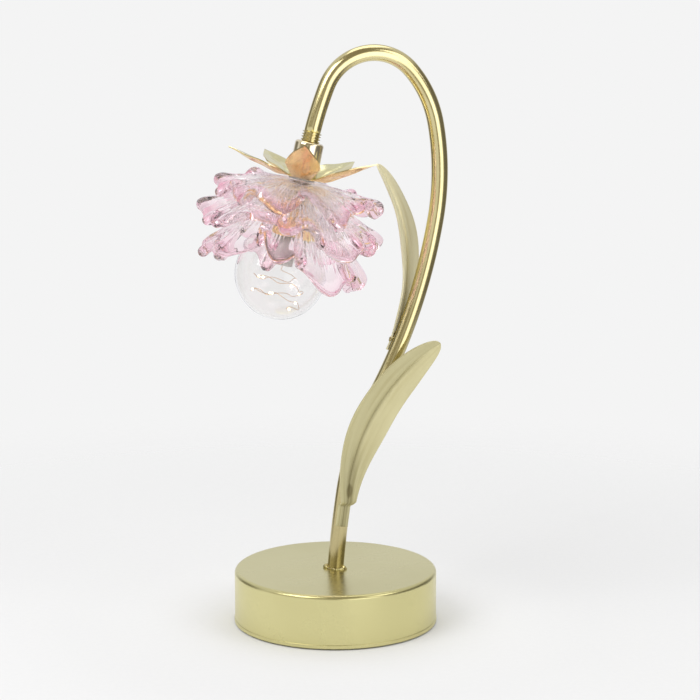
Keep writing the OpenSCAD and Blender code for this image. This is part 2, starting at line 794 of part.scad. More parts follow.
// Reach of the sepal plate in a direction a away from the nearest sepal's middle
function sepal_reach(a) = let (b = abs(a), wide = atan(sepal_half_w / sepal_wide_x))
    b <= wide
        ? sepal_l * sepal_half_w / (sepal_half_w * cos(b) + (sepal_l - sepal_wide_x) * sin(b))
        : let (edge = norm([sepal_wide_x, sepal_half_w]), k = (b - wide) / (36 - wide))
            edge * hub_r / (hub_r + (edge - hub_r) * pow(k, 0.6));

function sepal_point(u, a, direction, rise, up) =
    let (s = u * max(0.6, sepal_reach(a) - hub_r),
        lift = rise * smooth(0.35 + s / sepal_l),
        r = hub_r + s * cos(lift),
        z = -s * sin(lift) - 1.2 * smooth(s / 12) * abs(a) / 27)
    [r * cos(direction + a), r * sin(direction + a), z + up];

module sepal_plate() {
    inner = ring_bore_r;
    lanes = [for (s = sepals, a = sepal_step_angles) [s[0] - a, a, s[0], s[1]]];
    section = concat([for (u = sepal_rings) [u, sepal_t]],
        [for (i = [len(sepal_rings) - 1 : -1 : 0]) [sepal_rings[i], 0]]);
    points = [for (lane = lanes) each concat(
        [[inner * cos(lane[0]), inner * sin(lane[0]), sepal_t]],
        [for (s = section) sepal_point(s[0], -lane[1], lane[2], lane[3], s[1])],
        [[inner * cos(lane[0]), inner * sin(lane[0]), 0]])];
    color([0.85, 0.72, 0.42]) at_flower() translate([0, 0, sepal_w])
        polyhedron(points, grid_faces(len(lanes), len(section) + 2));
}

// Glass flower

module spacer(level, h) {
    at_flower() translate([0, 0, level]) ring(spacer_r, ring_bore_r, h);
}

module soft_washer() {
    color([0.9, 0.9, 0.9]) spacer(washer_w, washer_t);
}

module upper_spacer() {
    color([0.93, 0.90, 0.88]) spacer(upper_spacer_w, upper_spacer_h);
}

module middle_spacer() {
    color([0.93, 0.90, 0.88]) spacer(middle_spacer_w, middle_spacer_h);
}

module lower_spacer() {
    color([0.93, 0.90, 0.88]) spacer(lower_spacer_w, lower_spacer_h);
}

// Reach and drop of a petal ring in direction a
function lobe_share(a, lobe, half) = max(0, cos(min(90, 90 * abs(wrap(a - lobe[0])) / half)));
function lobe_weight(a, lobe) = exp(-pow(wrap(a - lobe[0]) / 26, 2));
function petal_reach(a, lobes, notch, half) =
    notch + max([for (l = lobes) (l[1] - notch) * pow(lobe_share(a, l, half), 0.45)]);
function petal_drop(a, lobes) =
    let (w = [for (l = lobes) lobe_weight(a, l)], d = [for (l = lobes) l[2]])
    w * d / (w * [for (l = lobes) 1]);
function lobe_offset(a, lobes, half) = min([for (l = lobes) abs(wrap(a - l[0]))]) / half;

function petal_mid(u, a, lobes, notch, half, cup, ruffle, bend) =
    let (r = hub_r + (petal_reach(a, lobes, notch, half) - hub_r) * u,
        d = petal_drop(a, lobes) * pow(u, bend)
            + cup * pow(lobe_offset(a, lobes, half), 2) * u * u
            + ruffle * u * u * sin(7 * a + 200 * u))
    [r * cos(a), r * sin(a), d];

module petal_ring(level, lobes, notch, half, cup, ruffle, bend) {
    steps = 72;
    rings = [0, 0.16, 0.34, 0.52, 0.7, 0.86, 1];
    points = [for (i = [0 : steps - 1]) let (a = 360 * i / steps)
        each concat(
            [[ring_bore_r * cos(a), ring_bore_r * sin(a), 0]],
            [for (u = rings) petal_skin(u, a, lobes, notch, half, cup, ruffle, bend, -1)],
            [petal_rim(a, lobes, notch, half, cup, ruffle, bend)],
            [for (i = [len(rings) - 1 : -1 : 0])
                petal_skin(rings[i], a, lobes, notch, half, cup, ruffle, bend, 1)],
            [[ring_bore_r * cos(a), ring_bore_r * sin(a), petal_t]])];
    at_flower() translate([0, 0, level])
        polyhedron(points, grid_faces(steps, 2 * len(rings) + 3));
}

function petal_normal(u, a, lobes, notch, half, cup, ruffle, bend) =
    let (h = 0.02,
        p = petal_mid(u, a, lobes, notch, half, cup, ruffle, bend),
        pu = petal_mid(u + h, a, lobes, notch, half, cup, ruffle, bend) - p,
        pa = [-sin(a), cos(a), 0],
        n = cross(pu, pa))
    n / norm(n);

function petal_skin(u, a, lobes, notch, half, cup, ruffle, bend, side) =
    let (t = petal_t + (petal_rim_t - petal_t) * u,
        n = u < 0.01 ? [0, 0, 1] : petal_normal(u, a, lobes, notch, half, cup, ruffle, bend),
        shrink = u > 0.99 ? 0.6 : 1)
    petal_mid(u, a, lobes, notch, half, cup, ruffle, bend)
        + [0, 0, petal_t / 2] + side * shrink * t / 2 * n;

function petal_rim(a, lobes, notch, half, cup, ruffle, bend) =
    let (p = petal_mid(1, a, lobes, notch, half, cup, ruffle, bend),
        q = petal_mid(0.96, a, lobes, notch, half, cup, ruffle, bend), d = p - q)
    p + [0, 0, petal_t / 2] + d / norm(d) * petal_rim_t * 0.35;

module petals_upper() {
    color([0.93, 0.70, 0.76, 0.6]) petal_ring(upper_w, upper_lobes, 34, 33, 2.5, 1.2, 1.5);
}

module petals_middle() {
    color([0.92, 0.66, 0.73, 0.6]) petal_ring(middle_w, middle_lobes, 38, 29, 3.5, 1.2, 1.4);
}

module petals_lower() {
    color([0.93, 0.72, 0.78, 0.6]) petal_ring(lower_w, lower_lobes, 32, 33, 5, 1.5, 1.45);
}

// Globe and lights

module globe_cap() {
    color([0.86, 0.74, 0.42]) at_flower() translate([0, 0, cap_w]) rotate_extrude() difference() {
        union() {
            translate([0, cap_t]) square([cap_r, cap_h - cap_t]);
            square([cap_r - cap_t, cap_t + eps]);
            translate([cap_r - cap_t, cap_t]) circle(r = cap_t);
        }
        translate([-1, cap_t]) square([cap_r - cap_t + 1, cap_h + 1]);
        square([nipple_r + thread_clear, 3 * cap_t], center = true);
        translate([0, -1]) square([nipple_r + thread_clear, cap_h]);
    }
}

module cap_nut() {
    color([0.80, 0.74, 0.50]) at_flower() translate([0, 0, nut_w]) difference() {
        cylinder(r = 8, h = nut_h, $fn = 6);
        translate([0, 0, -1]) cylinder(r = nipple_r + 0.05, h = nut_h + 2);
    }
}

module globe_gasket() {
    color([0.85, 0.85, 0.85]) at_flower() translate([0, 0, gasket_w])
        ring(cap_r - cap_t - 0.05, neck_r + 0.05, gasket_h);
}

module glass_globe() {
    neck_l = globe_w - sqrt(pow(globe_r, 2) - pow(neck_r, 2)) - neck_top;
    color([0.93, 0.95, 0.96, 0.4]) at_flower() rotate_extrude($fn = 96) intersection() {
        square([2 * globe_r, globe_w + 2 * globe_r]);
        difference() {
            union() {
                translate([0, globe_w]) circle(r = globe_r);
                translate([0, neck_top]) square([neck_r, neck_l + 2]);
            }
            translate([0, globe_w]) circle(r = globe_r - globe_t);
            translate([-1, neck_top - 1]) square([neck_r - globe_t + 1, neck_l + 4]);
        }
    }
}

module light_sleeve() {
    grip = nipple_end - sleeve_w + 0.5;
    color([0.93, 0.92, 0.88]) at_flower() translate([0, 0, sleeve_w]) difference() {
        cylinder(r = sleeve_r, h = sleeve_l);
        translate([0, 0, -1]) cylinder(r = nipple_r + 0.05, h = grip + 1);
        translate([0, 0, grip - 1]) cylinder(r = 3, h = sleeve_l - grip - 0.5);
        cylinder(r = 1.2, h = sleeve_l + 1);
    }
}

// The string leaves the sleeve along the axis, then loops down inside the globe
function string_point(t) = let (k = max(0, (t - 0.2) / 0.8), a = 360 * string_turns * k + 40,
    r = string_r * smooth(k / 0.3))
    [r * cos(a), r * sin(a), nipple_end + 2.05 + (sleeve_end - nipple_end - 0.05) * min(1, t / 0.2)
        + string_drop * k];

module light_string() {
    rows = 72;
    sides = 6;
    points = [for (i = [0 : rows - 1], j = [0 : sides - 1])
        let (t = i / (rows - 1), p = string_point(t), q = string_point(t + 0.002) - p,
            f = q / norm(q), s0 = cross(f, [cos(40), sin(40), 0.3]), s = s0 / norm(s0),
            up = cross(f, s), b = 360 * j / sides)
        p + string_t / 2 * (sin(b) * s + cos(b) * up)];
    color([0.75, 0.55, 0.35]) at_flower() polyhedron(points, tube_faces(rows, sides));
}

module light_drops() {
    color([1.0, 0.93, 0.75]) at_flower() for (i = [0 : light_count - 1]) {
        p = string_point(0.46 + 0.53 * i / (light_count - 1));
        inward = [p[0], p[1], 0] / norm([p[0], p[1]]);
        translate(p - inward * (string_t / 2 + light_r + 0.15)) sphere(r = light_r);
    }
}

base_shell();
ballast_disc();
cover_standoffs();
bottom_cover();
cover_screws();
foot_ring();
battery_tray();
tray_screws();
battery_door();
battery_cells();
contact_plates();
contact_springs();
switch_body();
switch_knob();
switch_screws();
driver_board();
board_screws();
battery_leads();
inner_lead();
stem_tube();
lower_leaf();
upper_leaf();
flower_holder();
threaded_nipple();
sepal_plate();
soft_washer();
petals_upper();
upper_spacer();
petals_middle();
middle_spacer();
petals_lower();
lower_spacer();
globe_cap();
cap_nut();
globe_gasket();
glass_globe();
light_sleeve();
light_string();
light_drops();
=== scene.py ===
"""Flower lamp: the looks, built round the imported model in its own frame, in metres."""

import logging
import math
from dataclasses import dataclass, field
from enum import Enum

import bpy
import numpy as np
from mathutils import Matrix, Vector


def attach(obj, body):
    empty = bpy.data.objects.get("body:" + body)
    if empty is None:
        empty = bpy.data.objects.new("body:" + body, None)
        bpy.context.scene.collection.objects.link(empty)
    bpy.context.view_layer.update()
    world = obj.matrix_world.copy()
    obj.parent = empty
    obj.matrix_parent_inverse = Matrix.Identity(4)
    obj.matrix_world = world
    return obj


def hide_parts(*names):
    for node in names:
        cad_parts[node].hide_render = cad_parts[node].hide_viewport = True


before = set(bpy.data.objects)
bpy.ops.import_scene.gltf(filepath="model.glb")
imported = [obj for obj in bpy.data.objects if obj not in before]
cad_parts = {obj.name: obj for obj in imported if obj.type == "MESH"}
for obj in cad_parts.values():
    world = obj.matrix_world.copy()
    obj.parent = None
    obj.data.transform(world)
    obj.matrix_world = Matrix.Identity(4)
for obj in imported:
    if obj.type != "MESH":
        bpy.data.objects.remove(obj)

MM = 0.001
LOG = logging.getLogger("flower_lamp")
Colour = tuple[float, float, float]
Profile = list[tuple[float, float]]
Outline = tuple[np.ndarray, np.ndarray, np.ndarray]
Socket = bpy.types.NodeSocket


class Slot(Enum):
    """The record's material slots, as named for the modelled pieces."""

    SATIN = "gold_satin"
    POLISHED = "gold_polished"
    PINK = "pink_glass"
    CLEAR = "clear_glass"
    WIRE = "string_wire"
    RESIN = "light_epoxy"


class Mirror(Enum):
    """The axis along which a leaf is mirrored."""

    X = (1, 0, 0)
    Y = (0, 1, 0)


# Modelling helpers


def clear_selection() -> None:
    """Deselect every object."""
    bpy.ops.object.select_all(action="DESELECT")


def select(*pieces: bpy.types.Object) -> None:
    """Select pieces and nothing else, and make the first one active.

    Args:
        pieces: the pieces to select.
    """
    clear_selection()
    for piece in pieces:
        piece.select_set(True)
    bpy.context.view_layer.objects.active = pieces[0]


def open_mesh(piece: bpy.types.Object) -> None:
    """Enter edit mode on one piece, with its whole mesh selected.

    Args:
        piece: the piece to edit.
    """
    select(piece)
    bpy.ops.object.mode_set(mode="EDIT")
    bpy.ops.mesh.select_all(action="SELECT")


def close_mesh() -> None:
    """Return to object mode."""
    bpy.ops.object.mode_set(mode="OBJECT")


def named(name: str) -> bpy.types.Object:
    """Give the newest object and its mesh a name.

    Args:
        name: the name for both.

    Returns:
        The newest object.
    """
    piece = bpy.context.object
    piece.name = piece.data.name = name
    return piece


def apply_modifier(piece: bpy.types.Object, kind: str, **settings: object) -> None:
    """Add a modifier to a piece and apply it.

    Args:
        piece: the piece to shape.
        kind: Blender's name for the modifier type.
        settings: the modifier's own settings.
    """
    modifier = piece.modifiers.new(kind.title(), kind)
    for key, value in settings.items():
        setattr(modifier, key, value)
    select(piece)
    bpy.ops.object.modifier_apply(modifier=modifier.name)


def tidy_faces(piece: bpy.types.Object) -> None:
    """Merge doubled points and turn every face outwards.

    Args:
        piece: the piece to clean.
    """
    open_mesh(piece)
    bpy.ops.mesh.remove_doubles(threshold=1e-6)
    bpy.ops.mesh.normals_make_consistent(inside=False)
    close_mesh()


def smooth(piece: bpy.types.Object, angle: float = 35.0) -> None:
    """Shade a piece smooth where its faces meet below an angle in degrees."""
    select(piece)
    bpy.ops.object.shade_smooth_by_angle(angle=math.radians(angle))


def mesh_points(piece: bpy.types.Object) -> np.ndarray:
    """Read a mesh's points.

    Args:
        piece: the piece to read.

    Returns:
        Rows of x, y and z.
    """
    flat = np.empty(3 * len(piece.data.vertices), np.float64)
    piece.data.vertices.foreach_get("co", flat)
    return flat.reshape(-1, 3)


def move_points(piece: bpy.types.Object, points: np.ndarray) -> None:
    """Put a mesh's points at new places."""
    piece.data.vertices.foreach_set("co", np.ascontiguousarray(points, np.float32).ravel())
    piece.data.update()


def looped(
    name: str, around: int, section: int, points: np.ndarray,
) -> tuple[bpy.types.Object, np.ndarray]:
    """Bend a grid into a closed ring with a closed section.

    Args:
        name: the piece's name.
        around: number of places round the ring.
        section: number of points in the section.
        points: rows of x, y and z in mm, section by section round the ring.

    Returns:
        The ring, in its own frame, and the row of points that each of its vertices came from.
    """
    clear_selection()
    bpy.ops.mesh.primitive_grid_add(x_subdivisions=around, y_subdivisions=section, size=2.0)
    ring = named(name)
    flat = mesh_points(ring)
    i = np.rint((flat[:, 0] + 1) / 2 * around).astype(int) % around
    j = np.rint((flat[:, 1] + 1) / 2 * section).astype(int) % section
    order = i * section + j
    move_points(ring, points[order] * MM)
    return ring, order


def eased(share: np.ndarray | float) -> np.ndarray:
    """Hold a share between 0 and 1 and ease it in and out."""
    held = np.clip(share, 0, 1)
    return held * held * (3 - 2 * held)


def unit(rows: np.ndarray) -> np.ndarray:
    """Bring each vector in an array to a length of 1."""
    return rows / np.linalg.norm(rows, axis=-1, keepdims=True)


def moved(x: float, y: float, z: float) -> Matrix:
    """A shift, given in mm."""
    return Matrix.Translation(Vector((x, y, z)) * MM)


def tilted(angle: float) -> Matrix:
    """A turn about the Y axis, given in degrees."""
    return Matrix.Rotation(math.radians(angle), 4, "Y")


def paint(piece: bpy.types.Object, name: str, values: np.ndarray) -> None:
    """Store one number at each point of a mesh, for its material to read."""
    layer = piece.data.attributes.new(name, "FLOAT", "POINT")
    layer.data.foreach_set("value", np.ascontiguousarray(values, np.float32))


def arc(centre: tuple[float, float], radius: float, start: float, end: float, steps: int) -> Profile:
    """Points of an arc in a lathe profile.

    Args:
        centre: radius and height of the arc's centre, in mm.
        radius: the arc's radius, in mm.
        start: first angle, in degrees, from outwards towards up.
        end: last angle, in degrees.
        steps: number of segments.

    Returns:
        The points, as pairs of radius and height.
    """
    angles = [math.radians(start + (end - start) * i / steps) for i in range(steps + 1)]
    return [(centre[0] + radius * math.cos(a), centre[1] + radius * math.sin(a)) for a in angles]


def turned(
    name: str, profile: Profile, steps: int, place: Matrix, angle: float = 35.0,
) -> bpy.types.Object:
    """Turn a closed profile about the local Z axis, as on a lathe.

    Args:
        name: the piece's name.
        profile: pairs of radius and height, in mm.
        steps: number of segments round the axis.
        place: the local frame, in metres.
        angle: angle in degrees under which edges are smooth.

    Returns:
        The turned piece, in its place.
    """
    clear_selection()
    bpy.ops.mesh.primitive_plane_add(size=MM)
    piece = named(name)
    open_mesh(piece)
    bpy.ops.mesh.merge(type="CENTER")
    radius, height = profile[0]
    bpy.ops.transform.translate(value=(radius * MM, 0, height * MM))
    for r, z in profile[1:] + profile[:1]:
        step = ((r - radius) * MM, 0, (z - height) * MM)
        bpy.ops.mesh.extrude_vertices_move(TRANSFORM_OT_translate={"value": step})
        radius, height = r, z
    bpy.ops.mesh.select_all(action="SELECT")
    bpy.ops.mesh.spin(steps=steps, angle=2 * math.pi, center=(0, 0, 0), axis=(0, 0, 1))
    close_mesh()
    tidy_faces(piece)
    piece.data.transform(place)
    smooth(piece, angle)
    return piece


def mounted(
    piece: bpy.types.Object, slot: Slot, material: bpy.types.Material, *replaces: str,
) -> None:
    """Give a finished piece its material, hang it on the lamp's own body and hide the CAD nodes it stands
    for.

    Args:
        piece: the finished piece.
        slot: the record's material slot; not used.
        material: the finish.
        replaces: CAD nodes that the piece stands for.
    """
    piece.data.materials.clear()
    piece.data.materials.append(material)
    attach(piece, "lamp")
    if replaces:
        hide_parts(*replaces)
    LOG.info("built %s", piece.name)


def dress(material: bpy.types.Material, *nodes: str) -> None:
    """Give CAD nodes that stay in view their finish.

    Args:
        material: the finish.
        nodes: names of the nodes.
    """
    for name in nodes:
        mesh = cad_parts[name].data
        mesh.materials.clear()
        mesh.materials.append(material)
        LOG.info("dressed %s", name)


# Shader helpers


class Graph:
    """A node tree, with a short way to add and join its nodes."""

    def __init__(self, tree: bpy.types.NodeTree) -> None:
        """Take a tree and empty it."""
        self.tree = tree
        tree.nodes.clear()

    def add(self, kind: str, inputs: dict | None = None, **settings: object) -> bpy.types.Node:
        """Add a node.

        Args:
            kind: the node's type.
            inputs: values or sockets for its inputs, by name or number.
            settings: the node's own settings.

        Returns:
            The new node.
        """
        node = self.tree.nodes.new(kind)
        for key, value in settings.items():
            setattr(node, key, value)
        for key, value in (inputs or {}).items():
            if isinstance(value, Socket):
                self.tree.links.new(value, node.inputs[key])
            else:
                node.inputs[key].default_value = value
        return node

    def math(self, operation: str, *values: object) -> Socket:
        """Add a Math node and return its result."""
        node = self.add("ShaderNodeMath", dict(enumerate(values)), operation=operation)
        return node.outputs[0]

    def ramp(
        self, value: Socket, low: float, high: float, out: tuple[float, float] = (0.0, 1.0),
    ) -> Socket:
        """Map a value smoothly from a range to another range.

        Args:
            value: the value to map.
            low: where the input range starts.
            high: where it ends.
            out: the results at the two ends.

        Returns:
            The mapped value.
        """
        inputs = {"Value": value, "From Min": low, "From Max": high, "To Min": out[0], "To Max": out[1]}
        return self.add("ShaderNodeMapRange", inputs, interpolation_type="SMOOTHSTEP").outputs[0]

    def blend(self, factor: object, first: object, second: object) -> Socket:
        """Mix two colours by a factor and return the result."""
        node = self.add("ShaderNodeMix", {0: factor, 6: first, 7: second}, data_type="RGBA")
        return node.outputs[2]

    def place(self) -> Socket:
        """The piece's Object coordinates."""
        return self.add("ShaderNodeTexCoord").outputs["Object"]

    def noise(
        self, scale: object, detail: float = 2.0, place: Socket | None = None, rough: float = 0.5,
    ) -> Socket:
        """Add a noise texture.

        Args:
            scale: the number or socket that sets its size.
            detail: number of finer layers.
            place: where it is read, or None for Object coordinates.
            rough: how strong the finer layers are.

        Returns:
            The noise, from 0 to 1.
        """
        where = self.place() if place is None else place
        inputs = {"Vector": where, "Scale": scale, "Detail": detail, "Roughness": rough}
        return self.add("ShaderNodeTexNoise", inputs).outputs["Fac"]

    def grey(self, level: Socket) -> Socket:
        """Turn a number into a grey."""
        return self.add("ShaderNodeCombineColor", {0: level, 1: level, 2: level}).outputs[0]

    def attribute(self, name: str) -> Socket:
        """Read a number that the mesh holds at its points."""
        return self.add("ShaderNodeAttribute", attribute_name=name).outputs["Fac"]

    def principled(self, **inputs: object) -> None:
        """Add the surface shader and join it to the output. An underscore stands for a space."""
        named_inputs = {key.replace("_", " "): value for key, value in inputs.items()}
        self.put_out(self.add("ShaderNodeBsdfPrincipled", named_inputs))

    def put_out(self, shader: bpy.types.Node) -> None:
        """Join a shader to the material's output."""
        self.add("ShaderNodeOutputMaterial", {"Surface": shader.outputs[0]})


def rgba(colour: Colour) -> tuple[float, float, float, float]:
    """Add full opacity to a linear colour."""
    return (*colour, 1.0)


class Effects:
    """Node groups that several finishes share."""

    def __init__(self) -> None:
        """Build each group once."""
        self.grain = self._grain()
        self.patches = self._patches()
        self.edges = self._edges()

    @staticmethod
    def _group(
        name: str, inputs: dict[str, str], outputs: dict[str, str],
    ) -> tuple[bpy.types.NodeTree, Graph, bpy.types.Node, bpy.types.Node]:
        """Start a group.

        Args:
            name: the group's name.
            inputs: socket types by input name.
            outputs: socket types by output name.

        Returns:
            The group, its graph, its input node and its output node.
        """
        tree = bpy.data.node_groups.new(name, "ShaderNodeTree")
        for label, kind in inputs.items():
            tree.interface.new_socket(label, in_out="INPUT", socket_type=kind)
        for label, kind in outputs.items():
            tree.interface.new_socket(label, in_out="OUTPUT", socket_type=kind)
        graph = Graph(tree)
        return tree, graph, graph.add("NodeGroupInput"), graph.add("NodeGroupOutput")

    def _grain(self) -> bpy.types.NodeTree:
        """Fine unevenness of a sprayed or moulded surface, as roughness and as relief.

        Returns:
            The node group.
        """
        number = "NodeSocketFloat"
        tree, graph, given, result = self._group(
            "surface_grain", {"Size": number, "Depth": number, "Low": number, "High": number},
            {"Roughness": number, "Normal": "NodeSocketVector"},
        )
        fine = graph.noise(given.outputs["Size"], 3.0, rough=0.6)
        broad = graph.noise(38.0)
        both = graph.math("MULTIPLY_ADD", broad, 0.6, graph.math("MULTIPLY", fine, 0.4))
        rough = graph.add("ShaderNodeMapRange", {
            "Value": both, "From Min": 0.3, "From Max": 0.7,
            "To Min": given.outputs["Low"], "To Max": given.outputs["High"],
        })
        bump = graph.add("ShaderNodeBump", {
            "Height": fine, "Strength": given.outputs["Depth"], "Distance": 0.0002,
        })
        graph.tree.links.new(rough.outputs[0], result.inputs["Roughness"])
        graph.tree.links.new(bump.outputs[0], result.inputs["Normal"])
        return tree

    def _patches(self) -> bpy.types.NodeTree:
        """Slow drift of a finish between two tones.

        Returns:
            The node group.
        """
        number, colour = "NodeSocketFloat", "NodeSocketColor"
        tree, graph, given, result = self._group(
            "tone_patches", {"Size": number, "Light": colour, "Dark": colour}, {"Colour": colour},
        )
        share = graph.ramp(graph.noise(given.outputs["Size"], 3.0), 0.35, 0.65)
        mixed = graph.blend(share, given.outputs["Light"], given.outputs["Dark"])
        graph.tree.links.new(mixed, result.inputs["Colour"])
        return tree

    def _edges(self) -> bpy.types.NodeTree:
        """Mask of edges that hands and boxes have rubbed.

        Returns:
            The node group.
        """
        number = "NodeSocketFloat"
        tree, graph, given, result = self._group("rubbed_edges", {"Reach": number}, {"Mask": number})
        point = graph.add("ShaderNodeNewGeometry").outputs["Pointiness"]
        edge = graph.ramp(point, 0.53, 0.62)
        patch = graph.ramp(graph.noise(220.0, 4.0), 0.4, 0.7)
        mask = graph.math("MULTIPLY", graph.math("MULTIPLY", edge, patch), given.outputs["Reach"])
        graph.tree.links.new(mask, result.inputs["Mask"])
        return tree

    def tone(self, graph: Graph, size: float, light: Colour, dark: Colour) -> Socket:
        """Place the drifting tone in a material and return its colour."""
        inputs = {"Size": size, "Light": rgba(light), "Dark": rgba(dark)}
        return graph.add("ShaderNodeGroup", inputs, node_tree=self.patches).outputs["Colour"]

    def surface(
        self, graph: Graph, size: float, depth: float, low: float, high: float,
    ) -> dict[str, Socket]:
        """Place the grain in a material.

        Args:
            graph: the material's nodes.
            size: how fine the grain is.
            depth: strength of its relief.
            low: lowest roughness.
            high: highest roughness.

        Returns:
            The roughness and the normal, by the names that the surface shader gives them.
        """
        inputs = {"Size": size, "Depth": depth, "Low": low, "High": high}
        node = graph.add("ShaderNodeGroup", inputs, node_tree=self.grain)
        return {name: node.outputs[name] for name in ("Roughness", "Normal")}


EFFECTS = Effects()


def new_material(name: str) -> tuple[bpy.types.Material, Graph]:
    """Start a material with an empty node tree.

    Args:
        name: the material's name.

    Returns:
        The material and its graph.
    """
    material = bpy.data.materials.new(name)
    material.use_nodes = True
    return material, Graph(material.node_tree)


@dataclass(frozen=True)
class Solid:
    """An opaque finish, such as lacquered metal, plastic or rubber, with grain and drifting tone.

    It can be rubbed at its edges and have another colour on the mesh's under side. It can also have
    painted shade: a darker tone that grows from its top height down to its low height, in metres
    above the base's underside.
    """

    name: str
    light: Colour
    dark: Colour
    metallic: float = 0.0
    low: float = 0.3
    high: float = 0.4
    grain: float = 900.0
    depth: float = 0.15
    patches: float = 30.0
    rubbed: Colour | None = None
    reach: float = 0.5
    coat: float = 0.0
    under: Colour | None = None
    # Painted shade towards the bottom of the piece
    lower_shade: Colour | None = None
    lower_shade_top: float = 0.13
    lower_shade_low: float = 0.04

    def material(self) -> bpy.types.Material:
        """Build the finish.

        Returns:
            The material.
        """
        material, graph = new_material(self.name)
        colour = EFFECTS.tone(graph, self.patches, self.light, self.dark)
        # The under side's other colour; on the sepals it is a painted reflection of the pink glass
        if self.under:
            colour = graph.blend(graph.attribute("under"), colour, rgba(self.under))
        # Painted shade: darker towards the bottom of the piece, below its top height
        if self.lower_shade:
            level = graph.add("ShaderNodeSeparateXYZ", {"Vector": graph.place()}).outputs["Z"]
            reach = graph.ramp(level, self.lower_shade_top, self.lower_shade_low)
            colour = graph.blend(reach, colour, rgba(self.lower_shade))
        if self.rubbed:
            worn = graph.add("ShaderNodeGroup", {"Reach": self.reach}, node_tree=EFFECTS.edges)
            colour = graph.blend(worn.outputs["Mask"], colour, rgba(self.rubbed))
        grain = EFFECTS.surface(graph, self.grain, self.depth, self.low, self.high)
        graph.principled(Base_Color=colour, Metallic=self.metallic, Coat_Weight=self.coat, **grain)
        return material


@dataclass(frozen=True)
class BrushedLeaf:
    """Lacquered sheet, drawn out in streaks along the leaf, with painted shade at its crease and root.

    The mark is the place of an oval press mark painted with shade, as a share of the sheet's length from
    its low end.
    """

    name: str
    light: Colour
    dark: Colour
    painted_shade: Colour
    metallic: float = 0.6
    streaks: float = 8.0
    drawn: float = 2.2
    crease: float = 0.35
    mark: float = 0.0
    mark_half_w: float = 0.17
    mark_half_l: float = 0.036

    def material(self) -> bpy.types.Material:
        """Build the finish. It reads the sheet's UV map: across the leaf, and along it.

        Returns:
            The material.
        """
        material, graph = new_material(self.name)
        sheet = graph.add("ShaderNodeTexCoord").outputs["UV"]
        parts = graph.add("ShaderNodeSeparateXYZ", {"Vector": sheet})
        across, along = parts.outputs["X"], parts.outputs["Y"]
        drawn = graph.add("ShaderNodeCombineXYZ", {
            0: graph.math("MULTIPLY", across, self.streaks),
            1: graph.math("MULTIPLY", along, self.drawn),
        })
        noise = graph.noise(1.0, 4.0, drawn.outputs[0])
        streak = graph.ramp(noise, 0.40, 0.72, (0.0, 0.5))
        off = graph.math("ABSOLUTE", graph.math("SUBTRACT", across, 0.5))
        colour = graph.blend(streak, rgba(self.light), rgba(self.dark))
        # Painted shade along the crease, fading towards the tip
        fold = graph.ramp(off, 0.07, 0.0, (0.0, self.crease))
        fold = graph.math("MULTIPLY", fold, graph.ramp(along, 0.95, 0.55))
        colour = graph.blend(fold, colour, rgba(self.painted_shade))
        # Painted shade at the root, where the leaf meets the stem, darkest near the midrib, in patches
        root = graph.ramp(along, 0.46, 0.12)
        root = graph.math("MULTIPLY", root, graph.ramp(off, 0.42, 0.02, (0.12, 0.8)))
        root = graph.math("MULTIPLY", root, graph.ramp(noise, 0.36, 0.62, (0.3, 1.0)))
        colour = graph.blend(root, colour, rgba(self.painted_shade))
        # Painted shade in the oval press mark
        if self.mark:
            away = graph.math("SUBTRACT", along, self.mark)
            wide = graph.math("POWER", graph.math("DIVIDE", off, self.mark_half_w), 2.0)
            long = graph.math("POWER", graph.math("DIVIDE", away, self.mark_half_l), 2.0)
            spot = graph.ramp(graph.math("ADD", wide, long), 1.4, 0.3, (0.0, 0.75))
            colour = graph.blend(spot, colour, rgba(self.painted_shade))
        grain = EFFECTS.surface(graph, 1300.0, 0.15, 0.40, 0.52)
        graph.principled(Base_Color=colour, Metallic=self.metallic, **grain)
        return material


@dataclass(frozen=True)
class PressedGlass:
    """Pink pressed glass: paler in the sheet, deeper in its thick rim, with fine drawn streaks."""

    name: str
    body: Colour
    rim: Colour
    place: Matrix
    roughness: float = 0.0
    ior: float = 1.4
    streaks: float = 130.0
    relief: float = 0.07

    def material(self) -> bpy.types.Material:
        """Build the glass. It reads the mesh's rim attribute.

        Returns:
            The material.
        """
        material, graph = new_material(self.name)
        rim = graph.attribute("rim")
        drift = graph.math("MULTIPLY_ADD", graph.noise(70.0, 3.0), 0.5, -0.25)
        share = graph.add("ShaderNodeMath", {0: rim, 1: drift}, operation="ADD", use_clamp=True)
        colour = graph.blend(share.outputs[0], rgba(self.body), rgba(self.rim))
        # Streaks run out from the flower's axis, so the pattern is laid by angle about it
        turn = self.place.to_euler()
        local = graph.add("ShaderNodeMapping", {
            "Vector": graph.place(), "Location": self.place.translation, "Rotation": turn,
        }, vector_type="TEXTURE")
        parts = graph.add("ShaderNodeSeparateXYZ", {"Vector": local.outputs[0]})
        angle = graph.math("ARCTAN2", parts.outputs["Y"], parts.outputs["X"])
        wander = graph.noise(90.0, 3.0)
        phase = graph.math("MULTIPLY_ADD", wander, 9.0, graph.math("MULTIPLY", angle, self.streaks))
        height = graph.math("MULTIPLY_ADD", wander, 2.0, graph.math("SINE", phase))
        calm = graph.ramp(rim, 0.5, 0.0)
        bump = graph.add("ShaderNodeBump", {
            "Height": graph.math("MULTIPLY", height, calm), "Strength": self.relief, "Distance": 0.0002,
        })
        graph.principled(Base_Color=colour, Roughness=self.roughness, IOR=self.ior,
                         Transmission_Weight=1.0, Normal=bump.outputs[0])
        return material


